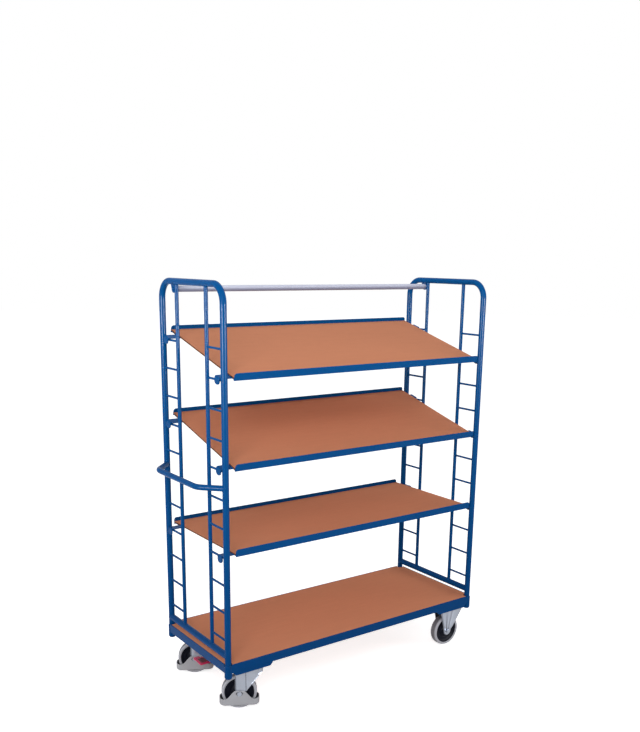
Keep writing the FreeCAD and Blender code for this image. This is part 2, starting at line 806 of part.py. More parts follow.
def lip(side):
    """Angle along one long edge of a shelf, upper corners rounded, its ledge reaching in to the hooks."""
    edge = side * (shelf_front if side < 0 else shelf_rear)
    inner = side * (hook_edge() + weld_gap)
    back = edge - side * lip_t
    upright = box(shelf_left, shelf_right, min(edge, back), max(edge, back), -lip_below, lip_h - lip_below)
    corners = [e for e in upright.Edges if e.BoundBox.YLength > lip_t / 2 and e.BoundBox.ZMin > lip_h / 2]
    ledge = box(shelf_left, shelf_right, min(edge, inner), max(edge, inner), 0, lip_t)
    return upright.makeFillet(lip_corner_r, corners).fuse(ledge)


def shelf_panel():
    """Board between the two lips, resting on their ledges and let in over the hooks' arms."""
    board = box(shelf_left, shelf_right, lip_t + panel_gap - shelf_front,
                shelf_rear - lip_t - panel_gap, lip_t, lip_t + panel_t)
    for end in (-1, 1):
        root = shelf_end(end) - hook_root - panel_gap
        x0, x1 = sorted((end * root, end * shelf_end(end)))
        for side in (-1, 1):
            y = side * hook_spacing / 2
            reach = hook_w / 2 + panel_gap
            board = board.cut(box(x0, x1, y - reach, y + reach, lip_t, hook_t + weld_gap))
    return board


def hook(end, side):
    """Bent strap: an arm out over the rung and a round-ended tongue down behind it."""
    y = side * hook_spacing / 2 - hook_w / 2
    inner = post_span / 2 + rung_d / 2 + hook_throat
    outer = inner + hook_t
    root = shelf_end(end) - hook_root
    soft = hook_bend_r * (1 - math.sqrt(0.5))

    def at(x, z):
        return V(end * x, y, z)

    bend_start = at(outer, hook_t - hook_bend_r)
    bend_end = at(outer - hook_bend_r, hook_t)
    edges = [Part.LineSegment(at(root, hook_t), at(root, 0)).toShape(),
             Part.LineSegment(at(root, 0), at(inner, 0)).toShape(),
             Part.LineSegment(at(inner, 0), at(inner, -hook_drop)).toShape(),
             Part.LineSegment(at(inner, -hook_drop), at(outer, -hook_drop)).toShape(),
             Part.LineSegment(at(outer, -hook_drop), bend_start).toShape(),
             Part.Arc(bend_start, at(outer - soft, hook_t - soft), bend_end).toShape(),
             Part.LineSegment(bend_end, at(root, hook_t)).toShape()]
    strap = Part.Face(Part.Wire(edges)).extrude(V(0, hook_w, 0))
    corners = [e for e in strap.Edges if e.BoundBox.XLength > hook_t / 2 and e.BoundBox.ZMax < -hook_drop / 2
               and e.BoundBox.YLength < hook_t / 2]
    return strap.makeFillet(hook_tip_r, corners)


def shelf_place(front_rung, lift):
    """Where a shelf hangs: the front edges of its hooks rest on rungs that lie lift pitches apart."""
    tilt = math.asin(lift * rung_pitch / hook_spacing)
    rest = rungs_z[front_rung - 1] + rung_d / 2 + seat_gap
    height = rest + hook_edge() * math.sin(tilt)
    forward = V(0, -shelf_shift * lift, height)
    return FreeCAD.Placement(forward, FreeCAD.Rotation(V(1, 0, 0), math.degrees(tilt)))


def save_shelf(name, front_rung, lift):
    """Writes the four nodes of one shelf."""
    place = shelf_place(front_rung, lift)
    pieces = {"panel": [shelf_panel()], "front_lip": [lip(-1)], "rear_lip": [lip(1)],
              "hooks": [hook(end, side) for end in (-1, 1) for side in (-1, 1)]}
    for piece, shapes in pieces.items():
        for shape in shapes:
            shape.Placement = place.multiply(shape.Placement)
        save(name + "_shelf_" + piece, shapes)


def save_frame():
    """Writes the end frames, the handle and the brace."""
    for name, x in (("left", left_x), ("right", right_x)):
        save(name + "_hoop", hoop(x))
        save(name + "_cross_rail", cross_rail(x))
        save(name + "_inner_tubes", inner_tubes(x))
        save(name + "_rungs", rungs(x))
    save("push_handle", push_handle())
    save("brace_tube", brace_tube())
    save("brace_brackets", [brace_bracket(x) for x in (left_x, right_x)])
    save("brace_bolts", [brace_bolt(side) for side in (-1, 1)])


def save_base():
    """Writes the base frame, the deck and what holds the casters."""
    save("corner_sleeves", [corner_sleeve(x, y) for x, y in corner_posts()])
    save("front_rail", long_rail(-1))
    save("rear_rail", long_rail(1))
    save("left_rail", end_rail(-1))
    save("right_rail", end_rail(1))
    save("cross_members", cross_members())
    save("deck_panel", deck_panel())
    casters = [(x, y) for x in (swivel_x, fixed_x) for y in (-caster_y, caster_y)]
    shoe_x = post_span / 2 - shoe_inset
    save("caster_shoes", [caster_shoe(math.copysign(shoe_x, x), y, x) for x, y in casters])
    save("caster_bolts", [f for x, y in casters for f in caster_fasteners(x, y)])


def save_caster_wheel(kind, name, x, y, turn, axle_reach):
    """Writes one wheel's tyre, hub, bearings and axle."""
    pieces = {"_tyre_": [tyre()], "_hub_": [hub()], "_bearings_": bearings(), "_axle_": axle(axle_reach)}
    for piece, shapes in pieces.items():
        save(kind + piece + name, [placed(s, x, y, turn) for s in shapes])


def save_casters():
    """Writes the two swivel casters at the handle end and the two fixed ones."""
    for name, y in (("front", -caster_y), ("rear", caster_y)):
        axle_x = swivel_x - axle_back
        axle_y = y + axle_side
        save("swivel_head_" + name, [placed(s, swivel_x, y, 0) for s in swivel_head()])
        save("swivel_fork_" + name, placed(swivel_fork(), swivel_x, y, parked_turn))
        guard = wheel_guard() if name == "front" else wheel_guard().fuse(pedal_lug())
        save("wheel_guard_" + name, placed(guard, axle_x, axle_y, parked_turn))
        save_caster_wheel("swivel", name, axle_x, axle_y, parked_turn, guard_half_w)
        fixed_axle_x = fixed_x - fixed_axle_back
        save("fixed_fork_" + name, placed(fixed_fork(), fixed_axle_x, y, 0))
        save_caster_wheel("fixed", name, fixed_axle_x, y, 0, leg_out + fixed_rib_rise)
    save("brake_pedal_rear", placed(brake_pedal(), swivel_x - axle_back, caster_y + axle_side, parked_turn))


os.makedirs("parts", exist_ok=True)
save_frame()
save_base()
save_casters()
for shelf in shelves:
    save_shelf(*shelf)
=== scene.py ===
"""Shelf trolley: finishes, fine details and the stage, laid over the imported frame.

Metres. +Z is up, +X runs along the trolley away from the push handle, +Y runs to its rear.
"""
import json
import math

import bpy
import numpy as np
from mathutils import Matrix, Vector


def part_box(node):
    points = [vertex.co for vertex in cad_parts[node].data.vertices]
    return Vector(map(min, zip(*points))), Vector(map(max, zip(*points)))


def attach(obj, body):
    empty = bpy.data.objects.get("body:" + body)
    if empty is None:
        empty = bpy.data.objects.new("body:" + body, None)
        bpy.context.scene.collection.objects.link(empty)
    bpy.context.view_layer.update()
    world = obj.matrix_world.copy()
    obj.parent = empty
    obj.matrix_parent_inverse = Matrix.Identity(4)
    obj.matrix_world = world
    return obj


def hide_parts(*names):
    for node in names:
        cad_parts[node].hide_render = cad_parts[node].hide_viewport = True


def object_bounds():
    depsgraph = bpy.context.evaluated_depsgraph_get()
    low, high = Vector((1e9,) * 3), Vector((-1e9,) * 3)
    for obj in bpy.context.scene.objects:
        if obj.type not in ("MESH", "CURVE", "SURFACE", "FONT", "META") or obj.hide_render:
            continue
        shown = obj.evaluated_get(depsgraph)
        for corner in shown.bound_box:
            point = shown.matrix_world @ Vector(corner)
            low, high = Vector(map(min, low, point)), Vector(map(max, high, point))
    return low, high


bl_info = {
    "name": "Shelf trolley",
    "version": (1, 0, 0),
    "blender": (4, 5, 0),
    "location": "3D View > Sidebar > Trolley",
    "description": "Finishes and fine details of a shelf trolley over its packed frame",
    "category": "Object",
}

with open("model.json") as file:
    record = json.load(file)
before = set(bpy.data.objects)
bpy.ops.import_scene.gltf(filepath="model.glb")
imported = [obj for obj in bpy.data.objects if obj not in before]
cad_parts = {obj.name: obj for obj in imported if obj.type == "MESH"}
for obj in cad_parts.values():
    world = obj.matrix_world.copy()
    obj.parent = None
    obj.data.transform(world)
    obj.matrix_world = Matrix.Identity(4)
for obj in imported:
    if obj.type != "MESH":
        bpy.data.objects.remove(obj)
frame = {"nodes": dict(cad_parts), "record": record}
cad_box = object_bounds()
nodes = frame["nodes"]
spots = {joint["name"]: joint for joint in frame["record"]["behaviour"]["joints"]}


# Node helpers

def put(tree, kind, settings, inputs):
    """Adds a node with its settings; an input that is a socket is linked, any other is set on the node."""
    node = tree.nodes.new(kind)
    for name, value in settings.items():
        setattr(node, name, value)
    for key, value in inputs.items():
        if isinstance(value, bpy.types.NodeSocket):
            tree.links.new(value, node.inputs[key])
        else:
            node.inputs[key].default_value = value
    return node


def math_node(tree, operation, a, b):
    """Adds a clamped sum, product or other pair operation and gives its result."""
    settings = {"operation": operation, "use_clamp": True}
    return put(tree, "ShaderNodeMath", settings, {0: a, 1: b}).outputs[0]


def mix_colour(tree, share, a, b):
    """Mixes two colours and gives the result."""
    return put(tree, "ShaderNodeMix", {"data_type": "RGBA"}, {0: share, 6: a, 7: b}).outputs[2]


def ramp(tree, value, start, end, low, high):
    """Maps a value that runs from start to end onto the range from low to high, held at both ends."""
    return put(tree, "ShaderNodeMapRange", {}, {0: value, 1: start, 2: end, 3: low, 4: high}).outputs[0]


def spread(tree, value, low, high):
    """Stretches a value of 0 to 1 over another range and gives the result."""
    return ramp(tree, value, 0.0, 1.0, low, high)


def upward(tree):
    """Upward part of the surface's normal: one on a level top, minus one on an underside."""
    normal = tree.nodes.new("ShaderNodeNewGeometry").outputs["Normal"]
    return put(tree, "ShaderNodeSeparateXYZ", {}, {0: normal}).outputs["Z"]


def noise(tree, place, scale, detail):
    """Adds even noise and gives its value of 0 to 1."""
    inputs = {"Vector": place, "Scale": scale, "Detail": detail}
    return put(tree, "ShaderNodeTexNoise", {}, inputs).outputs[0]


def start_group(name, takes, gives):
    """Starts a shader node group with named inputs and outputs."""
    tree = bpy.data.node_groups.new(name, "ShaderNodeTree")
    for label, kind, value in takes:
        tree.interface.new_socket(label, in_out="INPUT", socket_type=kind).default_value = value
    for label, kind in gives:
        tree.interface.new_socket(label, in_out="OUTPUT", socket_type=kind)
    return tree, tree.nodes.new("NodeGroupInput").outputs, tree.nodes.new("NodeGroupOutput").inputs


def uneven_group():
    """Colour that drifts over broad patches and fine specks, with a roughness that drifts along."""
    tree, takes, gives = start_group(
        "uneven_finish",
        [("Place", "NodeSocketVector", (0, 0, 0)), ("Colour", "NodeSocketColor", (1, 1, 1, 1)),
         ("Broad scale", "NodeSocketFloat", 4.0), ("Fine scale", "NodeSocketFloat", 300.0),
         ("Drift", "NodeSocketFloat", 0.1), ("Roughness", "NodeSocketFloat", 0.4),
         ("Roughness drift", "NodeSocketFloat", 0.1)],
        [("Colour", "NodeSocketColor"), ("Roughness", "NodeSocketFloat")])
    broad = noise(tree, takes["Place"], takes["Broad scale"], 3.0)
    fine = noise(tree, takes["Place"], takes["Fine scale"], 2.0)
    both = put(tree, "ShaderNodeMix", {}, {0: 0.4, 2: broad, 3: fine}).outputs[0]
    shift = put(tree, "ShaderNodeMath", {"operation": "SUBTRACT"}, {0: both, 1: 0.5}).outputs[0]
    level = put(tree, "ShaderNodeMath", {"operation": "MULTIPLY_ADD"},
                {0: shift, 1: takes["Drift"], 2: 1.0}).outputs[0]
    tinted = put(tree, "ShaderNodeHueSaturation", {}, {"Value": level, "Color": takes["Colour"]})
    rough = put(tree, "ShaderNodeMath", {"operation": "MULTIPLY_ADD", "use_clamp": True},
                {0: shift, 1: takes["Roughness drift"], 2: takes["Roughness"]})
    tree.links.new(tinted.outputs[0], gives["Colour"])
    tree.links.new(rough.outputs[0], gives["Roughness"])
    return tree


def edge_group():
    """Soft edges: a normal rounded over corners, and a mask that is strongest there, broken by noise."""
    tree, takes, gives = start_group(
        "soft_edges",
        [("Place", "NodeSocketVector", (0, 0, 0)), ("Radius", "NodeSocketFloat", 0.001)],
        [("Normal", "NodeSocketVector"), ("Mask", "NodeSocketFloat")])
    rounded = put(tree, "ShaderNodeBevel", {"samples": 6}, {"Radius": takes["Radius"]}).outputs[0]
    flat = tree.nodes.new("ShaderNodeNewGeometry").outputs["Normal"]
    agree = put(tree, "ShaderNodeVectorMath", {"operation": "DOT_PRODUCT"}, {0: rounded, 1: flat})
    sharp = ramp(tree, agree.outputs["Value"], 1.0, 0.8, 0.0, 1.0)
    broken = spread(tree, noise(tree, takes["Place"], 120.0, 4.0), -0.3, 1.3)
    tree.links.new(rounded, gives["Normal"])
    tree.links.new(math_node(tree, "MULTIPLY", sharp, broken), gives["Mask"])
    return tree


def dust_group():
    """Thin dust that settles on faces that look up, thicker in patches."""
    tree, takes, gives = start_group(
        "settled_dust",
        [("Place", "NodeSocketVector", (0, 0, 0)), ("Amount", "NodeSocketFloat", 0.1)],
        [("Mask", "NodeSocketFloat")])
    facing = ramp(tree, upward(tree), 0.3, 1.0, 0.0, 1.0)
    patches = spread(tree, noise(tree, takes["Place"], 9.0, 5.0), -0.2, 1.1)
    held = math_node(tree, "MULTIPLY", facing, patches)
    tree.links.new(math_node(tree, "MULTIPLY", held, takes["Amount"]), gives["Mask"])
    return tree


def decor_group():
    """Beech decor: short darker flecks and faint streaks that run along X."""
    tree, takes, gives = start_group(
        "beech_decor",
        [("Place", "NodeSocketVector", (0, 0, 0)), ("Board", "NodeSocketColor", (1, 1, 1, 1)),
         ("Fleck", "NodeSocketColor", (0, 0, 0, 1))],
        [("Colour", "NodeSocketColor"), ("Height", "NodeSocketFloat")])
    long, short = [put(tree, "ShaderNodeMapping", {}, {"Vector": takes["Place"], "Scale": scale}).outputs[0]
                   for scale in ((1.0, 9.0, 9.0), (1.0, 5.0, 5.0))]
    streaks = spread(tree, noise(tree, long, 7.0, 6.0), 0.0, 0.5)
    cells = put(tree, "ShaderNodeTexVoronoi", {}, {"Vector": short, "Scale": 120.0, "Randomness": 1.0})
    flecks = ramp(tree, cells.outputs["Distance"], 0.28, 0.12, 0.0, 0.5)
    share = math_node(tree, "ADD", streaks, flecks)
    tree.links.new(mix_colour(tree, share, takes["Board"], takes["Fleck"]), gives["Colour"])
    tree.links.new(share, gives["Height"])
    return tree


class Finish:
    """A material under way: its tree, its shader, its object coordinates and the groups placed in it."""

    def __init__(self, name):
        self.material = bpy.data.materials.new(name)
        self.material.use_nodes = True
        self.tree = self.material.node_tree
        self.shader = self.tree.nodes["Principled BSDF"]
        self.place = self.tree.nodes.new("ShaderNodeTexCoord").outputs["Object"]

    def group(self, tree, **inputs):
        """Places a shared group, with its inputs given by name."""
        named = {key.replace("_", " "): value for key, value in inputs.items()}
        named["Place"] = self.place
        return put(self.tree, "ShaderNodeGroup", {"node_tree": tree}, named).outputs

    def feed(self, **inputs):
        """Links sockets to the shader, or sets plain values on it."""
        for key, value in inputs.items():
            socket = self.shader.inputs[key.replace("_", " ")]
            if isinstance(value, bpy.types.NodeSocket):
                self.tree.links.new(value, socket)
            else:
                socket.default_value = value

    def soiled(self, colour, grime):
        """Colour with painted shade and grime laid over it, as thick as the piece's own attribute says."""
        amount = put(self.tree, "ShaderNodeAttribute", {"attribute_name": "grime"}, {}).outputs["Fac"]
        return mix_colour(self.tree, amount, colour, grime)

    def relief(self, height, depth, normal):
        """Bump of a given depth over a normal."""
        inputs = {"Height": height, "Distance": depth, "Strength": 1.0}
        if normal is not None:
            inputs["Normal"] = normal
        self.feed(Normal=put(self.tree, "ShaderNodeBump", {}, inputs).outputs[0])


def solid(colour):
    """A colour property as four values."""
    return (colour[0], colour[1], colour[2], 1.0)


# Tints that lie over a finish: dust, painted shade and other darkening, bright edges and zinc crystals
PAINT_DUST = (0.42, 0.42, 0.43, 1.0)
MOULDED_DUST = (0.45, 0.44, 0.43, 1.0)
MOULDED_GRIME = (0.030, 0.030, 0.036, 1.0)
ZINC_TINT = (0.30, 0.32, 0.38, 1.0)
ZINC_CRYSTAL = (0.48, 0.50, 0.54, 1.0)
ZINC_EDGE = (0.60, 0.61, 0.65, 1.0)
ZINC_GRIME = (0.07, 0.075, 0.095, 1.0)

# How much of the worn colour shows on an edge
EDGE_SHARE = 0.35
ZINC_EDGE_SHARE = 0.4

# Where painted shade starts and ends, and its share at both: by height on the frame, by normal on the brace
FLOOR_DEEPENING = (1.60, 0.25, 0.0, 0.62)
UNDERSIDE_DEEPENING = (0.35, -0.25, 0.0, 0.95)

# Depth of the reliefs
PAINT_PEEL = 0.00006
ZINC_GRAIN = 0.00004
BOARD_PORES = 0.00003


def near_floor(f):
    """Share of painted shade: none high up, more towards the floor."""
    height = put(f.tree, "ShaderNodeSeparateXYZ", {}, {0: f.place}).outputs["Z"]
    return ramp(f.tree, height, *FLOOR_DEEPENING)


def looking_down(f):
    """Share of painted shade on the coat: where a face looks down."""
    return ramp(f.tree, upward(f.tree), *UNDERSIDE_DEEPENING)


def paint_finish(name, colour, worn, deep, depth_of, groups, rough):
    """Stove paint: soft drift, painted shade by a share of its own, orange peel, paler edges and dust."""
    f = Finish(name)
    base = f.group(groups["uneven"], Colour=solid(colour), Broad_scale=2.5, Fine_scale=260.0, Drift=0.22,
                   Roughness=rough, Roughness_drift=0.16)
    edge = f.group(groups["edge"], Radius=0.0012)
    dust = f.group(groups["dust"], Amount=0.03)
    # Painted shade: the colour is mixed towards the darker colour by the given share
    body = mix_colour(f.tree, depth_of(f), base["Colour"], solid(deep))
    lit = mix_colour(f.tree, math_node(f.tree, "MULTIPLY", edge["Mask"], EDGE_SHARE), body, solid(worn))
    f.feed(Base_Color=mix_colour(f.tree, dust["Mask"], lit, PAINT_DUST),
           Roughness=math_node(f.tree, "ADD", base["Roughness"], dust["Mask"]), Specular_IOR_Level=0.03)
    f.relief(noise(f.tree, f.place, 520.0, 2.0), PAINT_PEEL, edge["Normal"])
    return f.material


def zinc_finish(name, colour, groups, rough):
    """Zinc plate: metal with faint crystal patches, a drifting tint, brighter edges and painted shade from
    the piece's attribute.
    """
    f = Finish(name)
    base = f.group(groups["uneven"], Colour=solid(colour), Broad_scale=14.0, Fine_scale=420.0, Drift=0.30,
                   Roughness=rough, Roughness_drift=0.20)
    edge = f.group(groups["edge"], Radius=0.0010)
    cells = put(f.tree, "ShaderNodeTexVoronoi", {}, {"Vector": f.place, "Scale": 180.0})
    drift = spread(f.tree, noise(f.tree, f.place, 22.0, 3.0), 0.0, 0.30)
    tinted = mix_colour(f.tree, drift, base["Colour"], ZINC_TINT)
    in_cell = spread(f.tree, cells.outputs["Distance"], 0.0, 0.10)
    crystals = mix_colour(f.tree, in_cell, tinted, ZINC_CRYSTAL)
    on_edge = math_node(f.tree, "MULTIPLY", edge["Mask"], ZINC_EDGE_SHARE)
    bright = mix_colour(f.tree, on_edge, crystals, ZINC_EDGE)
    # Painted shade on the pressed forks' steep reliefs and inner faces, from the piece's attribute
    f.feed(Base_Color=f.soiled(bright, ZINC_GRIME), Roughness=base["Roughness"], Metallic=0.85)
    f.relief(noise(f.tree, f.place, 700.0, 3.0), ZINC_GRAIN, edge["Normal"])
    return f.material


def moulded_finish(name, colour, worn, groups, rough, grain, gloss):
    """Moulded plastic or rubber: eroded grain, scuffed edges, dust on top, and painted shade and darkening
    from the piece's attribute.
    """
    f = Finish(name)
    base = f.group(groups["uneven"], Colour=solid(colour), Broad_scale=18.0, Fine_scale=500.0, Drift=0.24,
                   Roughness=rough, Roughness_drift=0.16)
    edge = f.group(groups["edge"], Radius=0.0016)
    dust = f.group(groups["dust"], Amount=0.12)
    on_edge = math_node(f.tree, "MULTIPLY", edge["Mask"], EDGE_SHARE)
    lit = mix_colour(f.tree, on_edge, base["Colour"], solid(worn))
    dusty = mix_colour(f.tree, dust["Mask"], lit, MOULDED_DUST)
    # Painted shade inside the guards and the tyres' darker face and rings, from the piece's attribute
    f.feed(Base_Color=f.soiled(dusty, MOULDED_GRIME), Roughness=base["Roughness"], Specular_IOR_Level=gloss)
    f.relief(noise(f.tree, f.place, 1300.0, 2.0), grain, edge["Normal"])
    return f.material


def board_finish(name, colour, fleck, core, groups):
    """Decor board: flecked faces, a darker raw core on the cut edges, and a faint pore relief."""
    f = Finish(name)
    decor = f.group(groups["decor"], Board=solid(colour), Fleck=solid(fleck))
    base = f.group(groups["uneven"], Colour=decor["Colour"], Broad_scale=1.8, Fine_scale=40.0, Drift=0.10,
                   Roughness=0.8, Roughness_drift=0.14)
    level = put(f.tree, "ShaderNodeMath", {"operation": "ABSOLUTE"}, {0: upward(f.tree)}).outputs[0]
    cut = ramp(f.tree, level, 0.6, 0.4, 0.0, 1.0)
    chips = f.group(groups["uneven"], Colour=solid(core), Broad_scale=60.0, Fine_scale=700.0, Drift=0.5)
    f.feed(Base_Color=mix_colour(f.tree, cut, base["Colour"], chips["Colour"]), Roughness=base["Roughness"],
           Specular_IOR_Level=0.02)
    f.relief(decor["Height"], BOARD_PORES, None)
    return f.material


# Settings

def tint_prop(name, description, default):
    """Setting of a colour."""
    return bpy.props.FloatVectorProperty(
        name=name, description=description, default=default, subtype="COLOR", min=0.0, max=1.0)


def length_prop(name, description, default):
    """Setting of a length."""
    return bpy.props.FloatProperty(name=name, description=description, default=default, unit="LENGTH")


def power_prop(name, description, default):
    """Setting of a lamp's power."""
    return bpy.props.FloatProperty(name=name, description=description, default=default, unit="POWER")


class TrolleyColours(bpy.types.PropertyGroup):
    """Colours of the finishes, as scene light values."""

    paint: tint_prop(
        "Blue paint", "Stove paint of the frame, the rails and the shelf lips", (0.0013, 0.090, 0.300))
    paint_edge: tint_prop(
        "Thin paint", "Paint on sharp edges, where it lies thinner", (0.012, 0.150, 0.410))
    # Painted shade: the frame's paint colour darkened towards the floor
    paint_deep: tint_prop(
        "Deep paint", "Paint near the floor, where less light reaches it", (0.0003, 0.024, 0.105))
    board: tint_prop("Board", "Decor face of the deck and the shelves", (0.660, 0.268, 0.148))
    fleck: tint_prop("Flecks", "Darker flecks in the decor", (0.560, 0.219, 0.121))
    core: tint_prop("Board core", "Cut edges of the boards", (0.210, 0.080, 0.040))
    brace: tint_prop("Brace", "Pale grey coat of the tube between the end frames", (0.62, 0.64, 0.77))
    # Painted shade: the brace's coat colour on faces that look down
    brace_deep: tint_prop("Deep brace", "Coat of the brace where it looks down", (0.28, 0.31, 0.44))
    zinc: tint_prop("Zinc", "Zinc plate of the forks, axles and bolts", (0.24, 0.26, 0.30))
    guard: tint_prop("Foot guard", "Grey plastic of the foot guards", (0.37, 0.37, 0.39))
    tread: tint_prop("Tread", "Grey rubber of the tyres", (0.43, 0.43, 0.47))
    hub: tint_prop("Hub", "Dark plastic of the wheel centres", (0.010, 0.011, 0.018))
    pedal: tint_prop("Pedal", "Red plastic of the brake pedal", (0.600, 0.006, 0.085))
    pad: tint_prop("Pedal pad", "Dark pad on the brake pedal", (0.130, 0.030, 0.042))


class TrolleySizes(bpy.types.PropertyGroup):
    """Sizes of the fine details."""

    weld: bpy.props.FloatProperty(
        name="Weld", description="Radius of the weld beads", unit="LENGTH", min=0.0005, default=0.0017)
    post: length_prop("Post tube", "Diameter of the hoops' tube", 0.028)
    upright: length_prop("Slim upright", "Diameter of the inner uprights", 0.017)
    rail: length_prop("Cross rail", "Diameter of the cross rails' tube", 0.030)
    handle: length_prop("Handle tube", "Diameter of the push handle's tube", 0.025)
    rung: length_prop("Rung", "Diameter of the rungs", 0.010)
    pitch: length_prop("Rung pitch", "Distance from rung to rung", 0.125)
    rungs: bpy.props.IntProperty(name="Rungs", description="Number of rungs in one ladder", default=11)
    wheel: length_prop("Wheel", "Diameter of the wheels", 0.160)
    tread: length_prop("Tread", "Width of the tyres", 0.040)
    tyre: length_prop("Tyre wall", "Height of the tyres' side walls", 0.0145)
    guard_foot: length_prop("Guard foot", "Height of the foot guards above the floor", 0.020)
    guard_length: length_prop("Guard length", "Length of the foot guards", 0.180)
    guard_width: length_prop("Guard width", "Width of the foot guards", 0.072)


class TrolleyStage(bpy.types.PropertyGroup):
    """Where the camera stands and how bright the lamps are."""

    camera_place: bpy.props.FloatVectorProperty(
        name="Camera", description="Where the camera stands", subtype="TRANSLATION",
        default=(-2.40675, -3.33065, 1.9738))
    camera_turn: bpy.props.FloatVectorProperty(
        name="Camera turn", description="How the camera is turned", subtype="EULER",
        default=(1.326747, -0.013762, -0.628591))
    lens: bpy.props.FloatProperty(
        name="Lens", description="Focal length in millimetres", min=10.0, default=43.14)
    key: power_prop("Key lamp", "Power of the large lamp at the left front", 180.0)
    fill: power_prop("Fill lamp", "Power of the lamp at the right front", 60.0)
    top: power_prop("Top lamp", "Power of the lamp overhead", 22.0)
    side: power_prop("Side lamp", "Power of the lamp at the left end", 36.0)
    streak: power_prop("Streak lamps", "Power of each of the two panels that show only on gloss", 600.0)
    sky: bpy.props.FloatProperty(
        name="Room light", description="Level of the even light from all sides", min=0.0, default=0.45)


# Surfaces

def grid_faces(rows, columns, wrap_rows, wrap_columns):
    """Quads of a grid of points; a wrapped side joins its last line of points to its first."""
    i = np.arange(rows if wrap_rows else rows - 1)
    j = np.arange(columns if wrap_columns else columns - 1)
    i, j = np.meshgrid(i, j, indexing="ij")
    below = (i + 1) % rows
    right = (j + 1) % columns
    corners = [i * columns + j, below * columns + j, below * columns + right, i * columns + right]
    return np.stack(corners, -1).reshape(-1, 4)


def outward(points, faces):
    """Turns the faces of a closed patch outwards, by the sign of the volume that its quads enclose."""
    corners = points.reshape(-1, 3)[faces]
    first = np.einsum("ij,ij->i", corners[:, 0], np.cross(corners[:, 1], corners[:, 2]))
    second = np.einsum("ij,ij->i", corners[:, 0], np.cross(corners[:, 2], corners[:, 3]))
    return faces if first.sum() + second.sum() > 0 else faces[:, ::-1]


def patch(points, wrap_rows, wrap_columns, grime=0.0):
    """Grid of points as a patch whose faces point outwards, with the painted shade and grime at each point.
    """
    faces = grid_faces(points.shape[0], points.shape[1], wrap_rows, wrap_columns)
    centre = points.reshape(-1, 3).mean(0)
    return points, outward(points - centre, faces), np.broadcast_to(grime, points.shape[:2])


def smooth(value, low, high):
    """Smooth step: nought at low, one at high, and a cubic between; high may lie below low."""
    t = np.clip((value - low) / (high - low), 0.0, 1.0)
    return t * t * (3.0 - 2.0 * t)


def power(value, exponent):
    """Signed power, which squares off a round section as the exponent falls below one."""
    return np.sign(value) * np.abs(value) ** exponent


def block(centre, along, across, up, corner_up, corner_round):
    """Superellipsoid: two angles run over a ball, whose sines and cosines are raised to powers.

    Powers near nought give a block with soft edges; a plan power of one gives a round pin about up.
    """
    around, over = 40, 21
    u = np.linspace(0, 2 * np.pi, around, endpoint=False)[None, :]
    v = np.linspace(-np.pi / 2, np.pi / 2, over)[:, None]
    ring = power(np.cos(v), corner_up)
    a = (ring * power(np.cos(u), corner_round))[..., None]
    b = (ring * power(np.sin(u), corner_round))[..., None]
    c = (power(np.sin(v), corner_up) + 0 * u)[..., None]
    points = np.asarray(centre) + a * np.asarray(along) + b * np.asarray(across) + c * np.asarray(up)
    return patch(points, False, True)


def pin_along_x(centre, radius, half):
    """Round pin along X, with ends that are slightly soft."""
    return block(centre, (0, radius, 0), (0, 0, radius), (half, 0, 0), corner_up=0.25, corner_round=1.0)


def turned(section, centre, axis, count, grime=0.0):
    """Closed section of (radius, place along the axis), carried round the axis; painted shade and grime go
    along it.
    """
    radius, along = np.asarray(section).T
    axis = np.asarray(axis) / np.linalg.norm(axis)
    across = np.cross(axis, (0, 0, 1)) if abs(axis[2]) < 0.9 else np.array((1.0, 0, 0))
    up = np.cross(axis, across)
    angle = np.linspace(0, 2 * np.pi, count, endpoint=False)[:, None, None]
    spoke = np.cos(angle) * across + np.sin(angle) * up
    points = np.asarray(centre) + along[None, :, None] * axis + radius[None, :, None] * spoke
    return patch(points, True, True, grime)


def shell(outer, inner, outer_grime=0.0, inner_grime=0.0):
    """Sheet with two faces, each with its own painted shade: each row runs over the outer grid and back over
    the inner; end rows close.
    """
    loop = np.concatenate([outer, inner[:, ::-1]], 1)
    mid = (outer + inner) / 2
    start = np.concatenate([mid[:1], mid[:1, ::-1]], 1)
    end = np.concatenate([mid[-1:], mid[-1:, ::-1]], 1)
    grime = np.concatenate([np.broadcast_to(g, outer.shape[:2]) for g in (outer_grime, inner_grime)], 1)
    grime = np.concatenate([grime[:1], grime, grime[-1:]])
    return patch(np.concatenate([start, loop, end]), False, True, grime)


def bead(centre, branch, run, small, large, radius, phase):
    """Weld where a small tube meets a large one square on.

    The path goes round the small tube, and lies off the large tube's axis by the root of the large
    radius squared less the square of the path's sideways place; a small circle follows it and swells.
    """
    path_steps, girth_steps, swell, swells = 18, 6, 0.14, 7
    branch, run = np.asarray(branch, float), np.asarray(run, float)
    side = np.cross(branch, run)
    t = np.linspace(0, 2 * np.pi, path_steps, endpoint=False)[:, None, None]
    s = np.linspace(0, 2 * np.pi, girth_steps, endpoint=False)[None, :, None]
    spoke = side * np.cos(t) + run * np.sin(t)
    lift = np.sqrt(np.maximum(large ** 2 - (small * np.cos(t)) ** 2, 0.0))
    girth = radius * (1.0 + swell * np.sin(swells * t + phase))
    off = branch * (lift + girth * np.sin(s))
    return patch(np.asarray(centre) + off + spoke * (small + girth * np.cos(s)), True, True)


def middle(name):
    """Middle of a node's box."""
    low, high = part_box(name)
    return (np.array(low) + np.array(high)) / 2


class Caster:
    """Axes of one caster at rest: the floor below its axle, forward along the wheel, and across it."""

    def __init__(self, joint):
        spot = spots[joint]
        self.axle = np.array(spot["pos_m"])
        self.across = np.array(spot["axis"], float)
        self.forward = np.cross(self.across, (0.0, 0.0, 1.0))
        self.foot = self.axle * (1, 1, 0)

    def at(self, forward, across, up):
        """Points from arrays of places forward of the axle, across the wheel and above the floor."""
        forward, across, up = np.broadcast_arrays(forward, across, up)
        return (self.foot + forward[..., None] * self.forward + across[..., None] * self.across
                + up[..., None] * np.array((0.0, 0.0, 1.0)))


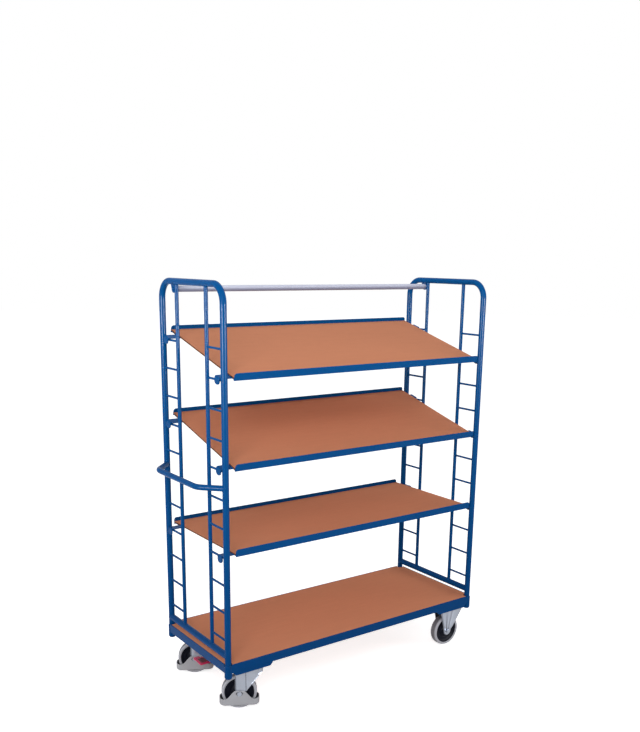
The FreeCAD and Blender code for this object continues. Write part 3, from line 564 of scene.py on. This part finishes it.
def make_piece(name, patches, body, material):
    """One object from patches of (points, faces, painted shade and grime); it rides on a body and takes a
    slot's finish.
    """
    points = np.concatenate([p.reshape(-1, 3) for p, _, _ in patches])
    starts = np.cumsum([0] + [p.size // 3 for p, _, _ in patches[:-1]])
    faces = np.concatenate([f + s for (_, f, _), s in zip(patches, starts)])
    grime = np.concatenate([g.ravel() for _, _, g in patches])
    mesh = bpy.data.meshes.new(name)
    mesh.vertices.add(len(points))
    mesh.vertices.foreach_set("co", points.astype(np.float32).ravel())
    mesh.loops.add(faces.size)
    mesh.loops.foreach_set("vertex_index", faces.astype(np.int32).ravel())
    mesh.polygons.add(len(faces))
    mesh.polygons.foreach_set("loop_start", np.arange(0, faces.size, 4, dtype=np.int32))
    mesh.polygons.foreach_set("use_smooth", np.ones(len(faces), bool))
    mesh.update(calc_edges=True)
    # Painted shade and grime at each point, which the finishes use to darken the colour
    mesh.attributes.new("grime", "FLOAT", "POINT").data.foreach_set("value", grime.astype(np.float32))
    mesh.validate()
    mesh.materials.append(material)
    piece = bpy.data.objects.new(name, mesh)
    bpy.context.scene.collection.objects.link(piece)
    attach(piece, body)
    return piece


finishes = {}


class TROLLEY_OT_finishes(bpy.types.Operator):
    """Makes the shared node groups and the finishes"""

    bl_idname = "trolley.finishes"
    bl_label = "Make finishes"

    def execute(self, context):
        c = context.scene.trolley_colours
        groups = {"uneven": uneven_group(), "edge": edge_group(), "dust": dust_group(),
                  "decor": decor_group()}
        finishes["paint"] = paint_finish("blue_stove_paint", c.paint, c.paint_edge, c.paint_deep,
                                         near_floor, groups, rough=0.24)
        finishes["brace"] = paint_finish("brace_coat", c.brace, c.brace, c.brace_deep,
                                         looking_down, groups, rough=0.38)
        finishes["zinc"] = zinc_finish("zinc_plate", c.zinc, groups, rough=0.32)
        finishes["bearing"] = zinc_finish("bearing_ring", c.zinc, groups, rough=0.28)
        # Name, colour, colour of worn edges, roughness, depth of the grain and gloss
        moulded = {
            "guard": ("guard_grey", c.guard, (0.32, 0.32, 0.34), 0.55, 0.00005, 0.15),
            "tread": ("tread_rubber", c.tread, (0.25, 0.25, 0.27), 0.62, 0.00004, 0.15),
            "hub": ("hub_plastic", c.hub, (0.13, 0.13, 0.17), 0.45, 0.00004, 0.03),
            "pedal": ("pedal_plastic", c.pedal, (0.62, 0.06, 0.14), 0.38, 0.00003, 0.30),
            "pad": ("pedal_pad", c.pad, (0.20, 0.05, 0.07), 0.6, 0.00005, 0.20),
        }
        for key, (name, colour, worn, rough, grain, gloss) in moulded.items():
            finishes[key] = moulded_finish(name, colour, worn, groups, rough, grain, gloss)
        finishes["board"] = board_finish("decor_board", c.board, c.fleck, c.core, groups)
        return {"FINISHED"}


class TROLLEY_OT_dress_frame(bpy.types.Operator):
    """Gives every node of the frame its finish"""

    bl_idname = "trolley.dress_frame"
    bl_label = "Dress frame"

    finish_of = {
        "blue_paint": "paint", "shelf_board": "board", "deck_board": "board", "brace_grey": "brace",
        "zinc_steel": "zinc", "bearing_steel": "bearing", "guard_plastic": "guard", "tread_grey": "tread",
        "hub_dark": "hub", "pedal_red": "pedal"}

    def execute(self, context):
        for node in nodes.values():
            slots = node.data.materials
            finish = finishes[self.finish_of[slots[0].name]]
            slots.clear()
            slots.append(finish)
        return {"FINISHED"}


class TROLLEY_OT_welds(bpy.types.Operator):
    """Makes the weld beads of the end frames and the push handle"""

    bl_idname = "trolley.welds"
    bl_label = "Make welds"

    # Section of the lacquer seal of a post: out from the post and up from the top of its sleeve
    seal = ((-0.0004, -0.0020), (0.0028, -0.0012), (0.0020, 0.0007), (0.0007, 0.0026), (-0.0004, 0.0030))
    seal_steps = 40
    # The rungs' beads are slimmer, and swell differently from rung to rung
    rung_share, rung_phase = 0.8, 9

    def execute(self, context):
        size = context.scene.trolley_sizes
        beads = []
        for end in ("left", "right"):
            beads += self.ladder(end, size) + self.uprights(end, size)
        x, *posts = self.posts("left", size)
        z = middle("push_handle")[2]
        for y in posts:
            beads.append(bead((x, y, z), (-1, 0, 0), (0, 0, 1), size.handle / 2, size.post / 2,
                              size.weld, y))
        make_piece("weld_beads", beads + self.collars(size), "frame", finishes["paint"])
        return {"FINISHED"}

    def posts(self, end, size):
        """Places of an end frame's posts: X of both, Y of the front one and Y of the rear one."""
        low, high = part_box(end + "_hoop")
        return middle(end + "_hoop")[0], low[1] + size.post / 2, high[1] - size.post / 2

    def inner(self, end, size):
        """Y of the front and of the rear slim upright of an end frame."""
        low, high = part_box(end + "_inner_tubes")
        return low[1] + size.upright / 2, high[1] - size.upright / 2

    def collars(self, size):
        """Sealed joint of each post and its sleeve: a hollow cone of lacquer, turned about the post."""
        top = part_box("corner_sleeves")[1][2]
        section = [(size.post / 2 + out, top + up) for out, up in self.seal]
        made = []
        for end in ("left", "right"):
            x, *posts = self.posts(end, size)
            made += [turned(section, (x, y, 0.0), (0, 0, 1), self.seal_steps) for y in posts]
        return made

    def ladder(self, end, size):
        """Beads at both ends of every rung of an end frame."""
        x, front, rear = self.posts(end, size)
        inner_front, inner_rear = self.inner(end, size)
        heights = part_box(end + "_rungs")[0][2] + size.rung / 2 + size.pitch * np.arange(size.rungs)
        tubes = ((front, 1, size.post), (inner_front, -1, size.upright),
                 (inner_rear, 1, size.upright), (rear, -1, size.post))
        weld = size.weld * self.rung_share
        return [bead((x, y, z), (0, way, 0), (0, 0, 1), size.rung / 2, tube / 2, weld, self.rung_phase * z)
                for z in heights for y, way, tube in tubes]

    def uprights(self, end, size):
        """Beads where the slim uprights meet the hoop and the cross rail, and the rail meets the posts."""
        x, front, rear = self.posts(end, size)
        rail = middle(end + "_cross_rail")[2]
        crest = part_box(end + "_hoop")[1][2] - size.post / 2
        slim, rail_r, post_r = size.upright / 2, size.rail / 2, size.post / 2
        made = []
        for y in self.inner(end, size):
            made.append(bead((x, y, rail), (0, 0, 1), (0, 1, 0), slim, rail_r, size.weld, y))
            made.append(bead((x, y, crest), (0, 0, -1), (0, 1, 0), slim, post_r, size.weld, y))
        for y, way in ((front, 1), (rear, -1)):
            made.append(bead((x, y, rail), (0, way, 0), (0, 0, 1), rail_r, post_r, size.weld, y))
        return made


class TROLLEY_OT_wheels(bpy.types.Operator):
    """Makes the tyres and the wheel centres"""

    bl_idname = "trolley.wheels"
    bl_label = "Make wheels"

    # Tyre: powers of its section, crown and seam of its face, ring in its walls, darkening of face and ring,
    # and the shares of the half width between which the face darkens
    wall_power, face_power = 0.45, 0.60
    face_crown, seam, seam_width = 0.0010, 0.0003, 0.0012
    ring_place, ring_width, ring_depth = 0.6, 0.0014, 0.035
    face_grime, ring_grime, trodden_from, trodden_to = 0.65, 0.25, 0.80, 0.40
    section_steps, tyre_steps, hub_steps = 72, 128, 96

    def execute(self, context):
        size = context.scene.trolley_sizes
        for kind in ("swivel", "fixed"):
            for end in ("front", "rear"):
                name = f"{kind}_wheel_{end}"
                caster = Caster(name + "_spin")
                tyre = make_piece(f"{kind}_tyre_{end}_moulded", [self.tyre(caster, size)], name,
                                  finishes["tread"])
                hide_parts(f"{kind}_tyre_{end}")
                hub = make_piece(f"{kind}_hub_{end}_moulded", [self.hub(caster, size)], name,
                                 finishes["hub"])
                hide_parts(f"{kind}_hub_{end}")
        return {"FINISHED"}

    def tyre(self, caster, size):
        """Superellipse section: running face with a slight crown, soft shoulders, a ring in each wall."""
        t = np.linspace(0, 2 * np.pi, self.section_steps, endpoint=False)
        reach = size.wheel / 2
        half = size.tread / 2
        depth = size.tyre / 2
        along = half * power(np.cos(t), self.wall_power)
        radius = reach - depth + depth * power(np.sin(t), self.face_power)
        seam = self.seam * np.exp(-(along / self.seam_width) ** 2)
        crown = self.face_crown * (along / half) ** 2 + seam
        radius = radius - crown * smooth(radius, reach - depth, reach)
        ring = np.exp(-((radius - reach + self.ring_place * size.tyre) / self.ring_width) ** 2)
        along = along * (1.0 - self.ring_depth * ring)
        # Darker middle of the running face, and darker rings in the walls
        inwards = smooth(np.abs(along), self.trodden_from * half, self.trodden_to * half)
        face = inwards * (radius > reach - depth)
        trodden = self.face_grime * face + self.ring_grime * ring
        section = np.stack([radius, along], -1)
        return turned(section, caster.axle, caster.across, self.tyre_steps, trodden)

    def hub(self, caster, size):
        """Dished section: boss, grooved web and a raised rim, the same on both sides."""
        half = size.tread / 2
        bore, boss, groove_in, groove_out = 0.0161, 0.0240, 0.0330, 0.0410
        edge = size.wheel / 2 - size.tyre + 0.0015
        near = np.array([(bore, half), (boss - 0.0015, half), (boss, half - 0.0015), (boss + 0.0006, 0.0095),
                         (boss + 0.0022, 0.0078), (groove_in - 0.0020, 0.0070), (groove_in - 0.0006, 0.0062),
                         (groove_in, 0.0042), (groove_in + 0.0008, 0.0036), (groove_out - 0.0008, 0.0036),
                         (groove_out, 0.0042), (groove_out + 0.0006, 0.0062), (groove_out + 0.0020, 0.0070),
                         (edge - 0.0150, 0.0074), (edge - 0.0110, 0.0092), (edge - 0.0080, 0.0135),
                         (edge - 0.0064, 0.0162), (edge - 0.0045, half - 0.0026), (edge, half - 0.0028)])
        section = np.concatenate([near, near[::-1] * (1, -1)])
        return turned(section, caster.axle, caster.across, self.hub_steps)


class TROLLEY_OT_guards(bpy.types.Operator):
    """Makes the foot guards of the swivel casters"""

    bl_idname = "trolley.guards"
    bl_label = "Make foot guards"

    arc_steps, side_steps, end_steps, rise_steps, rim_steps = 14, 60, 8, 40, 7
    corner, thick, tuck = 0.027, 0.0038, 0.010
    # Diamond about the axle: slopes of its sides, where it ends and starts, and how deep it is
    diamond_along, diamond_up, diamond_out, diamond_in, diamond_depth = 0.8, 0.6, 0.0145, 0.0125, 0.0012
    # Painted shade beside the axle and inside the wall: how dark it is, and from where to where it darkens
    beside_grime, beside_from, beside_to = 0.85, 0.005, 0.011
    inside_grime, inside_from, inside_to = 0.9, 0.020, 0.036
    # Neck of the pedal's lug, with its half sizes, and the knuckle on it
    neck_place, neck_half = (0.030, -0.042, 0.082), (0.0085, 0.0075, 0.021)
    knuckle_r, knuckle_half = 0.0070, 0.0108

    def execute(self, context):
        size = context.scene.trolley_sizes
        for end in ("front", "rear"):
            caster = Caster(f"swivel_wheel_{end}_spin")
            patches = [self.wall(caster, size)]
            if end == "rear":
                patches += self.lug(caster)
            guard = make_piece(f"wheel_guard_{end}_moulded", patches, "swivel_" + end,
                               finishes["guard"])
            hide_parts("wheel_guard_" + end)
        return {"FINISHED"}

    def plan(self, half_l, half_w, r):
        """Rounded rectangle seen from above, with its outward normals.

        Four quarter circles about the corners' centres, joined by straights with evenly spaced points.
        """
        quarter = np.arange(4)[:, None] * np.pi / 2
        angle = quarter + np.linspace(0, np.pi / 2, self.arc_steps)[None, :]
        signs = np.array(((1, 1), (-1, 1), (-1, -1), (1, -1)))[:, None, :]
        normal = np.stack([np.cos(angle), np.sin(angle)], -1)
        arcs = signs * (half_l - r, half_w - r) + r * normal
        lines, facings = [], []
        for i in range(4):
            count = self.side_steps if i % 2 == 0 else self.end_steps
            share = np.linspace(0, 1, count + 2)[1:-1, None]
            lines += [arcs[i], arcs[i, -1] + (arcs[(i + 1) % 4, 0] - arcs[i, -1]) * share]
            facings += [normal[i], np.repeat(normal[i, -1:], count, 0)]
        return np.concatenate(lines), np.concatenate(facings)

    def top_line(self, along):
        """Height of the wall's upper edge along the wheel: level ends, then a bell up to the saddle."""
        stops = (0.0, 0.017, 0.022, 0.030, 0.037, 0.043, 0.049, 0.055, 0.062, 0.070, 0.090)
        heights = (0.0945, 0.0940, 0.0920, 0.0850, 0.0770, 0.0695, 0.0625, 0.0570, 0.0530, 0.0522, 0.0540)
        return np.interp(np.abs(along), stops, heights)

    def wall(self, caster, size):
        """Wall carried round the plan: tucked in at the foot, up outside, over a round rim, down inside.

        A diamond about the axle is let into it: its depth falls off with the sum of the two distances.
        Painted shade darkens the diamond beside the axle and the whole inner face.
        """
        line, facing = self.plan(size.guard_length / 2, size.guard_width / 2, self.corner)
        foot, thick, tuck = size.guard_foot, self.thick, self.tuck
        from_axle = np.abs(line[:, 0])[None, :]
        top = self.top_line(line[:, 0])[None, :]
        z = foot + np.linspace(0, 1, self.rise_steps)[:, None] * (top - thick / 2 - foot)
        low = np.clip(tuck - (z - foot), 0.0, tuck)
        out = np.sqrt(np.maximum(tuck ** 2 - low ** 2, 0.0)) - tuck
        flat = np.abs(facing[:, 1])[None, :] > 0.99
        far = self.diamond_along * from_axle + self.diamond_up * np.abs(z - caster.axle[2])
        sunk = flat * smooth(far, self.diamond_out, self.diamond_in)
        bend = np.linspace(0, np.pi, self.rim_steps)[1:-1, None]
        rim_z = top - thick / 2 + thick / 2 * np.sin(bend)
        rim_out = -thick / 2 + thick / 2 * np.cos(bend) + 0 * top
        heights = np.concatenate([z, rim_z, z[::-1]])
        offs = np.concatenate([out - self.diamond_depth * sunk, rim_out, (out - thick)[::-1]])
        # Painted shade: dark sides of the sunk diamond beside the axle, and a dark inner face
        beside = self.beside_grime * sunk * smooth(from_axle, self.beside_from, self.beside_to)
        dark = self.inside_grime * smooth(from_axle, self.inside_from, self.inside_to) + 0 * z
        grime = np.concatenate([beside, 0 * rim_z, dark])
        points = caster.at(line[:, 0] + facing[:, 0] * offs, line[:, 1] + facing[:, 1] * offs, heights)
        return patch(points, True, True, grime)

    def lug(self, caster):
        """Neck and knuckle that carry the brake pedal."""
        pivot = np.array(spots["pedal_rear_press"]["pos_m"])
        half_l, half_w, half_h = self.neck_half
        neck = block(caster.at(*self.neck_place), caster.forward * half_l, caster.across * half_w,
                     (0, 0, half_h), corner_up=0.3, corner_round=0.3)
        return [neck, pin_along_x(pivot, self.knuckle_r, self.knuckle_half)]


class TROLLEY_OT_forks(bpy.types.Operator):
    """Makes the pressed forks of the swivel and the fixed casters"""

    bl_idname = "trolley.forks"
    bl_label = "Make forks"

    plate_l, plate_w, plate_t, plate_ahead = 0.135, 0.110, 0.005, 0.014
    half_gap, sheet_t, across_steps, crown_steps = 0.0242, 0.0036, 64, 96
    # Depth of the swivel legs' rib, turned-out edge and back fold, and of the fixed legs' bands and folds
    rib, lip, back_fold = 0.0034, 0.0016, 0.0014
    band, side_fold = 0.0026, 0.0022
    # Grooves between the bands: place across the leg and width, as shares of the leg's width
    grooves = ((0.29, 0.045), (0.53, 0.035))
    # Painted shade on the steep parts of a relief, the slopes between which it darkens, and painted shade
    # inside
    press_grime, steep_from, steep_to, inside_grime = 0.75, 0.12, 0.50, 0.6

    def execute(self, context):
        for end in ("front", "rear"):
            swivel = Caster(f"swivel_wheel_{end}_spin")
            head = np.array(spots[f"swivel_{end}_turn"]["pos_m"])
            legs = [self.swivel_leg(swivel, side, head[2]) for side in (-1, 1)]
            fork = make_piece(f"swivel_fork_{end}_pressed", legs + self.crown(head), "swivel_" + end,
                              finishes["zinc"])
            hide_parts("swivel_fork_" + end)
            fixed = Caster(f"fixed_wheel_{end}_spin")
            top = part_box("fixed_fork_" + end)[1][2]
            legs = [self.fixed_leg(fixed, side, top - self.plate_t) for side in (-1, 1)]
            plate = block(fixed.at(self.plate_ahead, 0.0, top - self.plate_t / 2), (self.plate_l / 2, 0, 0),
                          (0, self.plate_w / 2, 0), (0, 0, self.plate_t / 2),
                          corner_up=0.12, corner_round=0.16)
            fork = make_piece(f"fixed_fork_{end}_pressed", legs + [plate], "frame",
                              finishes["zinc"])
            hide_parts("fixed_fork_" + end)
        return {"FINISHED"}

    def sheet(self, caster, side, left, right, z, relief):
        """Leg: runs from its left to its right edge at each height, pressed outwards by a relief.

        Painted shade follows the steep parts of the relief, measured by its change from point to point, and
        darkens the inner face.
        """
        share = (0.5 - 0.5 * np.cos(np.linspace(0, np.pi, self.across_steps)))[None, :]
        a = left[:, None] + (right - left)[:, None] * share
        up = z[:, None] + 0 * a
        press = relief(a, up, left[:, None], right[:, None])
        outer = caster.at(a, side * (self.half_gap + self.sheet_t + press), up)
        inner = caster.at(a, side * (self.half_gap + np.maximum(press, 0.0)), up)
        steep = np.abs(np.diff(press, axis=1, append=press[:, -1:])) / np.maximum(
            np.diff(a, axis=1, append=a[:, -1:] + 1.0), 1e-6)
        # Painted shade along the steep parts of the relief, and over the inner face
        grime = self.press_grime * smooth(steep, self.steep_from, self.steep_to)
        return shell(outer, inner, grime, self.inside_grime)

    def swivel_leg(self, caster, side, top):
        """Upright leg with a pressed rib, and a nose that runs forward below the crown, edge turned out."""
        axle, tip = caster.axle[2], 0.017
        low = axle - tip * np.cos(np.linspace(0, np.pi / 2, 12))
        high = np.linspace(axle, top - 0.0025, 56)[1:]
        z = np.concatenate([low, high])
        curve = np.sqrt(np.maximum(tip ** 2 - (axle - low) ** 2, 0.0))
        back = np.interp(high, (axle, axle + 0.015, top - 0.0237, top - 0.0160, top - 0.0025),
                         (-0.017, -0.019, -0.019, -0.010, 0.008))
        nose = np.interp(high, (axle, axle + 0.006, top - 0.0497, top - 0.0417, top - 0.0347, top - 0.0297,
                                top - 0.0237, top - 0.0025),
                         (0.017, 0.030, 0.086, 0.089, 0.097, 0.103, 0.106, 0.106))

        def relief(a, up, lo, hi):
            rib = smooth(a - lo, 0.002, 0.006) * smooth(a, 0.0325, 0.0285) * smooth(hi - a, 0.002, 0.008)
            rib = rib * smooth(up, axle - 0.004, axle + 0.006) * smooth(up, top - 0.012, top - 0.020)
            edge = smooth(hi - a, 0.005, 0.001) * smooth(up, axle + 0.030, axle + 0.045)
            return self.rib * rib + self.lip * edge - self.back_fold * smooth(a - lo, 0.004, 0.0)

        left, right = np.concatenate([-curve, back]), np.concatenate([curve, nose])
        return self.sheet(caster, side, left, right, z, relief)

    def fixed_leg(self, caster, side, top):
        """Leg that is wide to its shoulders, tapers to a round end and is pressed into three bands."""
        axle, tip = caster.axle[2], 0.024
        low = axle - tip * np.cos(np.linspace(0, np.pi / 2, 14))
        high = np.linspace(axle, top, 50)[1:]
        z = np.concatenate([low, high])
        curve = np.sqrt(np.maximum(tip ** 2 - (axle - low) ** 2, 0.0))
        shoulder = axle + 0.103
        back = np.interp(high, (axle, shoulder, top), (-tip, -0.048, -0.048))
        front = np.interp(high, (axle, shoulder, top), (tip, 0.096, 0.096))

        def relief(a, up, lo, hi):
            share = (a - lo) / np.maximum(hi - lo, 1e-6)
            bands = 1.0
            for place, width in self.grooves:
                bands = bands - np.exp(-((share - place) / width) ** 2)
            fold = smooth(np.minimum(a - lo, hi - a), 0.006, 0.0)
            return self.band * bands * smooth(up, axle + 0.002, axle + 0.020) - self.side_fold * fold

        left, right = np.concatenate([-curve, back]), np.concatenate([curve, front])
        return self.sheet(caster, side, left, right, z, relief)

    def crown(self, head):
        """Round crown with a skirt below and a race ring above, turned about the king pin."""
        crown = [(0.0082, -0.0050), (0.0435, -0.0050), (0.0445, -0.0060), (0.0445, -0.0222),
                 (0.0455, -0.0227), (0.0476, -0.0227), (0.0480, -0.0217), (0.0480, -0.0037),
                 (0.0472, -0.0013), (0.0450, 0.0), (0.0082, 0.0)]
        race = [(0.0381, -0.0007), (0.0419, -0.0007), (0.0419, 0.0033), (0.0412, 0.0043),
                (0.0388, 0.0043), (0.0381, 0.0033)]
        return [turned(section, head, (0, 0, 1), self.crown_steps) for section in (crown, race)]


class TROLLEY_OT_pedal(bpy.types.Operator):
    """Makes the brake pedal of the rear swivel caster and its tread pad"""

    bl_idname = "trolley.pedal"
    bl_label = "Make brake pedal"

    # Half length, half depth and half thickness of the plate, its middle from the pivot, and its fall
    plate_l, plate_d, plate_t = 0.0310, 0.0285, 0.0046
    plate_off, plate_run, plate_fall = (-0.0090, -0.0360, -0.0011), 0.0595, 0.0060
    # Reach of both ears from the pivot; place, half depth and half height of an ear; radius of its pin
    ears = ((-0.0400, -0.0114), (0.0114, 0.0220))
    ear_off, ear_d, ear_h, pin = (-0.0010, 0.0025), 0.0095, 0.0045, 0.0069
    # Half length and half depth of the pad, its foot, its edge, and its field and ridges above the edge
    pad_l, pad_d, pad_foot, pad_edge, pad_field, pad_ridge = 0.0220, 0.0190, 0.0030, 0.0048, 0.0008, 0.0010
    # Ridges down the slope, points across and down it, and where the field falls off to the edge
    pad_ridges, pad_across, pad_down, pad_fade = 3.5, 25, 61, 0.93

    def execute(self, context):
        pivot = np.array(spots["pedal_rear_press"]["pos_m"])
        run, fall = self.plate_run, self.plate_fall
        slope = np.array((0.0, -run, -fall)) / math.hypot(run, fall)
        normal = np.cross((1.0, 0.0, 0.0), -slope)
        plate = pivot + self.plate_off
        patches = [block(plate, (self.plate_l, 0, 0), slope * self.plate_d, normal * self.plate_t,
                         corner_up=0.30, corner_round=0.16)]
        for left, right in self.ears:
            middle_x, half = (left + right) / 2, (right - left) / 2
            ear = pivot + (middle_x, *self.ear_off)
            patches.append(block(ear, (half, 0, 0), (0, self.ear_d, 0), (0, 0, self.ear_h),
                                 corner_up=0.30, corner_round=0.25))
            patches.append(pin_along_x(pivot + (middle_x, 0, 0), self.pin, half))
        pedal = make_piece("brake_pedal_rear_moulded", patches, "pedal_rear",
                           finishes["pedal"])
        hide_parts("brake_pedal_rear")
        make_piece("brake_pedal_pad", [self.pad(plate, slope, normal)], "pedal_rear",
                   finishes["pad"])
        return {"FINISHED"}

    def pad(self, centre, slope, normal):
        """Pad let into the plate: rounded ridges run across it, as the square of a sine down the slope."""
        u = np.linspace(-1, 1, self.pad_across)[None, :, None]
        v = np.linspace(-1, 1, self.pad_down)[:, None, None]
        flat = np.asarray(centre) + u * np.array((self.pad_l, 0, 0)) + v * slope * self.pad_d
        fade = smooth(np.maximum(np.abs(u), np.abs(v)), 1.0, self.pad_fade)
        ridge = np.sin(np.pi * self.pad_ridges * (v + 1.0)) ** 2
        top = self.pad_edge + fade * (self.pad_field + self.pad_ridge * ridge)
        return shell(flat + normal * top, flat + normal * (self.pad_foot + 0 * ridge))


class TROLLEY_OT_stage(bpy.types.Operator):
    """Sets up the floor, the room light, the lamps and the camera"""

    bl_idname = "trolley.stage"
    bl_label = "Set stage"

    # Where each square lamp stands and how wide it is
    lamps = {"key": ((-3.6, -4.3, 3.9), 3.2), "fill": ((4.6, -3.4, 3.0), 2.6),
             "top": ((0.3, 0.8, 5.2), 3.4), "side": ((-4.4, 1.0, 1.5), 2.2)}
    # Panels that only gloss shows
    panels = {"left_panel": (-3.79, -1.39, 1.50), "right_panel": (0.90, -3.74, 1.50)}
    panel_size = (0.9, 0.45)
    # Width of the camera's sensor in millimetres, and the shift that frames the photograph
    sensor, frame_shift = 36.0, (-0.0070, 0.1519)
    floor_radius, floor_corners = 30.0, 96
    floor_colour, floor_rough, room_tint = (0.80, 0.80, 0.80, 1.0), 0.9, (0.97, 0.98, 1.0, 1.0)
    # Glow of the floor: the distances from its middle between which it rises, and its strength at both
    floor_glow = (1.0, 2.6, 0.72, 0.78)

    def execute(self, context):
        scene = context.scene
        stage = scene.trolley_stage
        scene.view_settings.view_transform = "Standard"
        self.floor()
        self.room(stage.sky)
        middle_z = (cad_box[0].z + cad_box[1].z) / 2
        for part, (place, width) in self.lamps.items():
            self.lamp(part + "_lamp", place, (width, width), getattr(stage, part), middle_z)
        for name, place in self.panels.items():
            self.lamp(name, place, self.panel_size, stage.streak, place[2]).visible_diffuse = False
        view = bpy.data.cameras.new("photo_camera")
        view.sensor_width = self.sensor
        view.lens = stage.lens
        view.shift_x, view.shift_y = self.frame_shift
        camera = bpy.data.objects.new("photo_camera", view)
        camera.location = stage.camera_place
        camera.rotation_euler = stage.camera_turn
        scene.collection.objects.link(camera)
        scene.camera = camera
        return {"FINISHED"}

    def seen(self, tree):
        """Share that is one for rays of the camera, of reflections and through clear things."""
        path = tree.nodes.new("ShaderNodeLightPath").outputs
        mirror = math_node(tree, "MAXIMUM", path["Is Camera Ray"], path["Is Glossy Ray"])
        return math_node(tree, "MAXIMUM", mirror, path["Is Transmission Ray"])

    def floor(self):
        """Round pale floor that glows a little where the camera sees it, so that only shadows show."""
        angle = np.linspace(0, 2 * np.pi, self.floor_corners, endpoint=False)
        rim = np.stack([np.cos(angle), np.sin(angle), np.zeros_like(angle)], -1) * self.floor_radius
        mesh = bpy.data.meshes.new("floor")
        mesh.from_pydata(rim.tolist(), [], [list(range(self.floor_corners))])
        floor = bpy.data.objects.new("floor", mesh)
        material = bpy.data.materials.new("pale_floor")
        material.use_nodes = True
        tree = material.node_tree
        shader = tree.nodes["Principled BSDF"]
        shader.inputs["Base Color"].default_value = self.floor_colour
        shader.inputs["Roughness"].default_value = self.floor_rough
        shader.inputs["Specular IOR Level"].default_value = 0.0
        place = tree.nodes.new("ShaderNodeTexCoord").outputs["Object"]
        away = put(tree, "ShaderNodeVectorMath", {"operation": "LENGTH"}, {0: place}).outputs["Value"]
        level = math_node(tree, "MULTIPLY", self.seen(tree), ramp(tree, away, *self.floor_glow))
        glow = put(tree, "ShaderNodeEmission", {}, {"Strength": level})
        both = put(tree, "ShaderNodeAddShader", {}, {0: shader.outputs[0], 1: glow.outputs[0]})
        tree.links.new(both.outputs[0], tree.nodes["Material Output"].inputs["Surface"])
        mesh.materials.append(material)
        bpy.context.scene.collection.objects.link(floor)

    def room(self, level):
        """Even light from all sides, and plain white where the room itself is seen."""
        world = bpy.data.worlds.new("plain_room")
        world.use_nodes = True
        tree = world.node_tree
        light = tree.nodes["Background"]
        light.inputs["Color"].default_value = self.room_tint
        light.inputs["Strength"].default_value = level
        white = put(tree, "ShaderNodeBackground", {}, {"Color": (1, 1, 1, 1), "Strength": 1.0})
        both = put(tree, "ShaderNodeMixShader", {},
                   {0: self.seen(tree), 1: light.outputs[0], 2: white.outputs[0]})
        tree.links.new(both.outputs[0], tree.nodes["World Output"].inputs["Surface"])
        bpy.context.scene.world = world

    def lamp(self, name, place, size, watts, aim_z):
        """Lamp of a width and a height that looks at the trolley's upright axis at a given height."""
        light = bpy.data.lights.new(name, "AREA")
        light.shape = "RECTANGLE"
        light.size, light.size_y = size
        light.energy = watts
        lamp = bpy.data.objects.new(name, light)
        lamp.visible_camera = False
        lamp.location = place
        aim = Vector((0.0, 0.0, aim_z)) - lamp.location
        lamp.rotation_euler = aim.to_track_quat("-Z", "Y").to_euler()
        bpy.context.scene.collection.objects.link(lamp)
        return lamp


class TROLLEY_PT_panel(bpy.types.Panel):
    """Lists the steps and the settings"""

    bl_idname = "TROLLEY_PT_panel"
    bl_label = "Shelf trolley"
    bl_space_type = "VIEW_3D"
    bl_region_type = "UI"
    bl_category = "Trolley"

    def draw(self, context):
        for step in steps:
            self.layout.operator(step.bl_idname)
        scene = context.scene
        for group in (scene.trolley_colours, scene.trolley_sizes, scene.trolley_stage):
            for name in group.bl_rna.properties.keys():
                if name not in ("rna_type", "name"):
                    self.layout.prop(group, name)


steps = (TROLLEY_OT_finishes, TROLLEY_OT_dress_frame, TROLLEY_OT_welds, TROLLEY_OT_wheels,
         TROLLEY_OT_guards, TROLLEY_OT_forks, TROLLEY_OT_pedal, TROLLEY_OT_stage)
property_groups = (TrolleyColours, TrolleySizes, TrolleyStage)


def register():
    """Registers the settings, the steps and the panel."""
    for cls in (*property_groups, *steps, TROLLEY_PT_panel):
        bpy.utils.register_class(cls)
    bpy.types.Scene.trolley_colours = bpy.props.PointerProperty(type=TrolleyColours)
    bpy.types.Scene.trolley_sizes = bpy.props.PointerProperty(type=TrolleySizes)
    bpy.types.Scene.trolley_stage = bpy.props.PointerProperty(type=TrolleyStage)


def unregister():
    """Takes back what register added."""
    del bpy.types.Scene.trolley_stage
    del bpy.types.Scene.trolley_sizes
    del bpy.types.Scene.trolley_colours
    for cls in (TROLLEY_PT_panel, *reversed(steps), *reversed(property_groups)):
        bpy.utils.unregister_class(cls)


def main():
    """Registers the settings and runs the steps in order."""
    register()
    bpy.ops.trolley.finishes()
    bpy.ops.trolley.dress_frame()
    bpy.ops.trolley.welds()
    bpy.ops.trolley.wheels()
    bpy.ops.trolley.guards()
    bpy.ops.trolley.forks()
    bpy.ops.trolley.pedal()
    bpy.ops.trolley.stage()


if __name__ == "__main__":
    main()
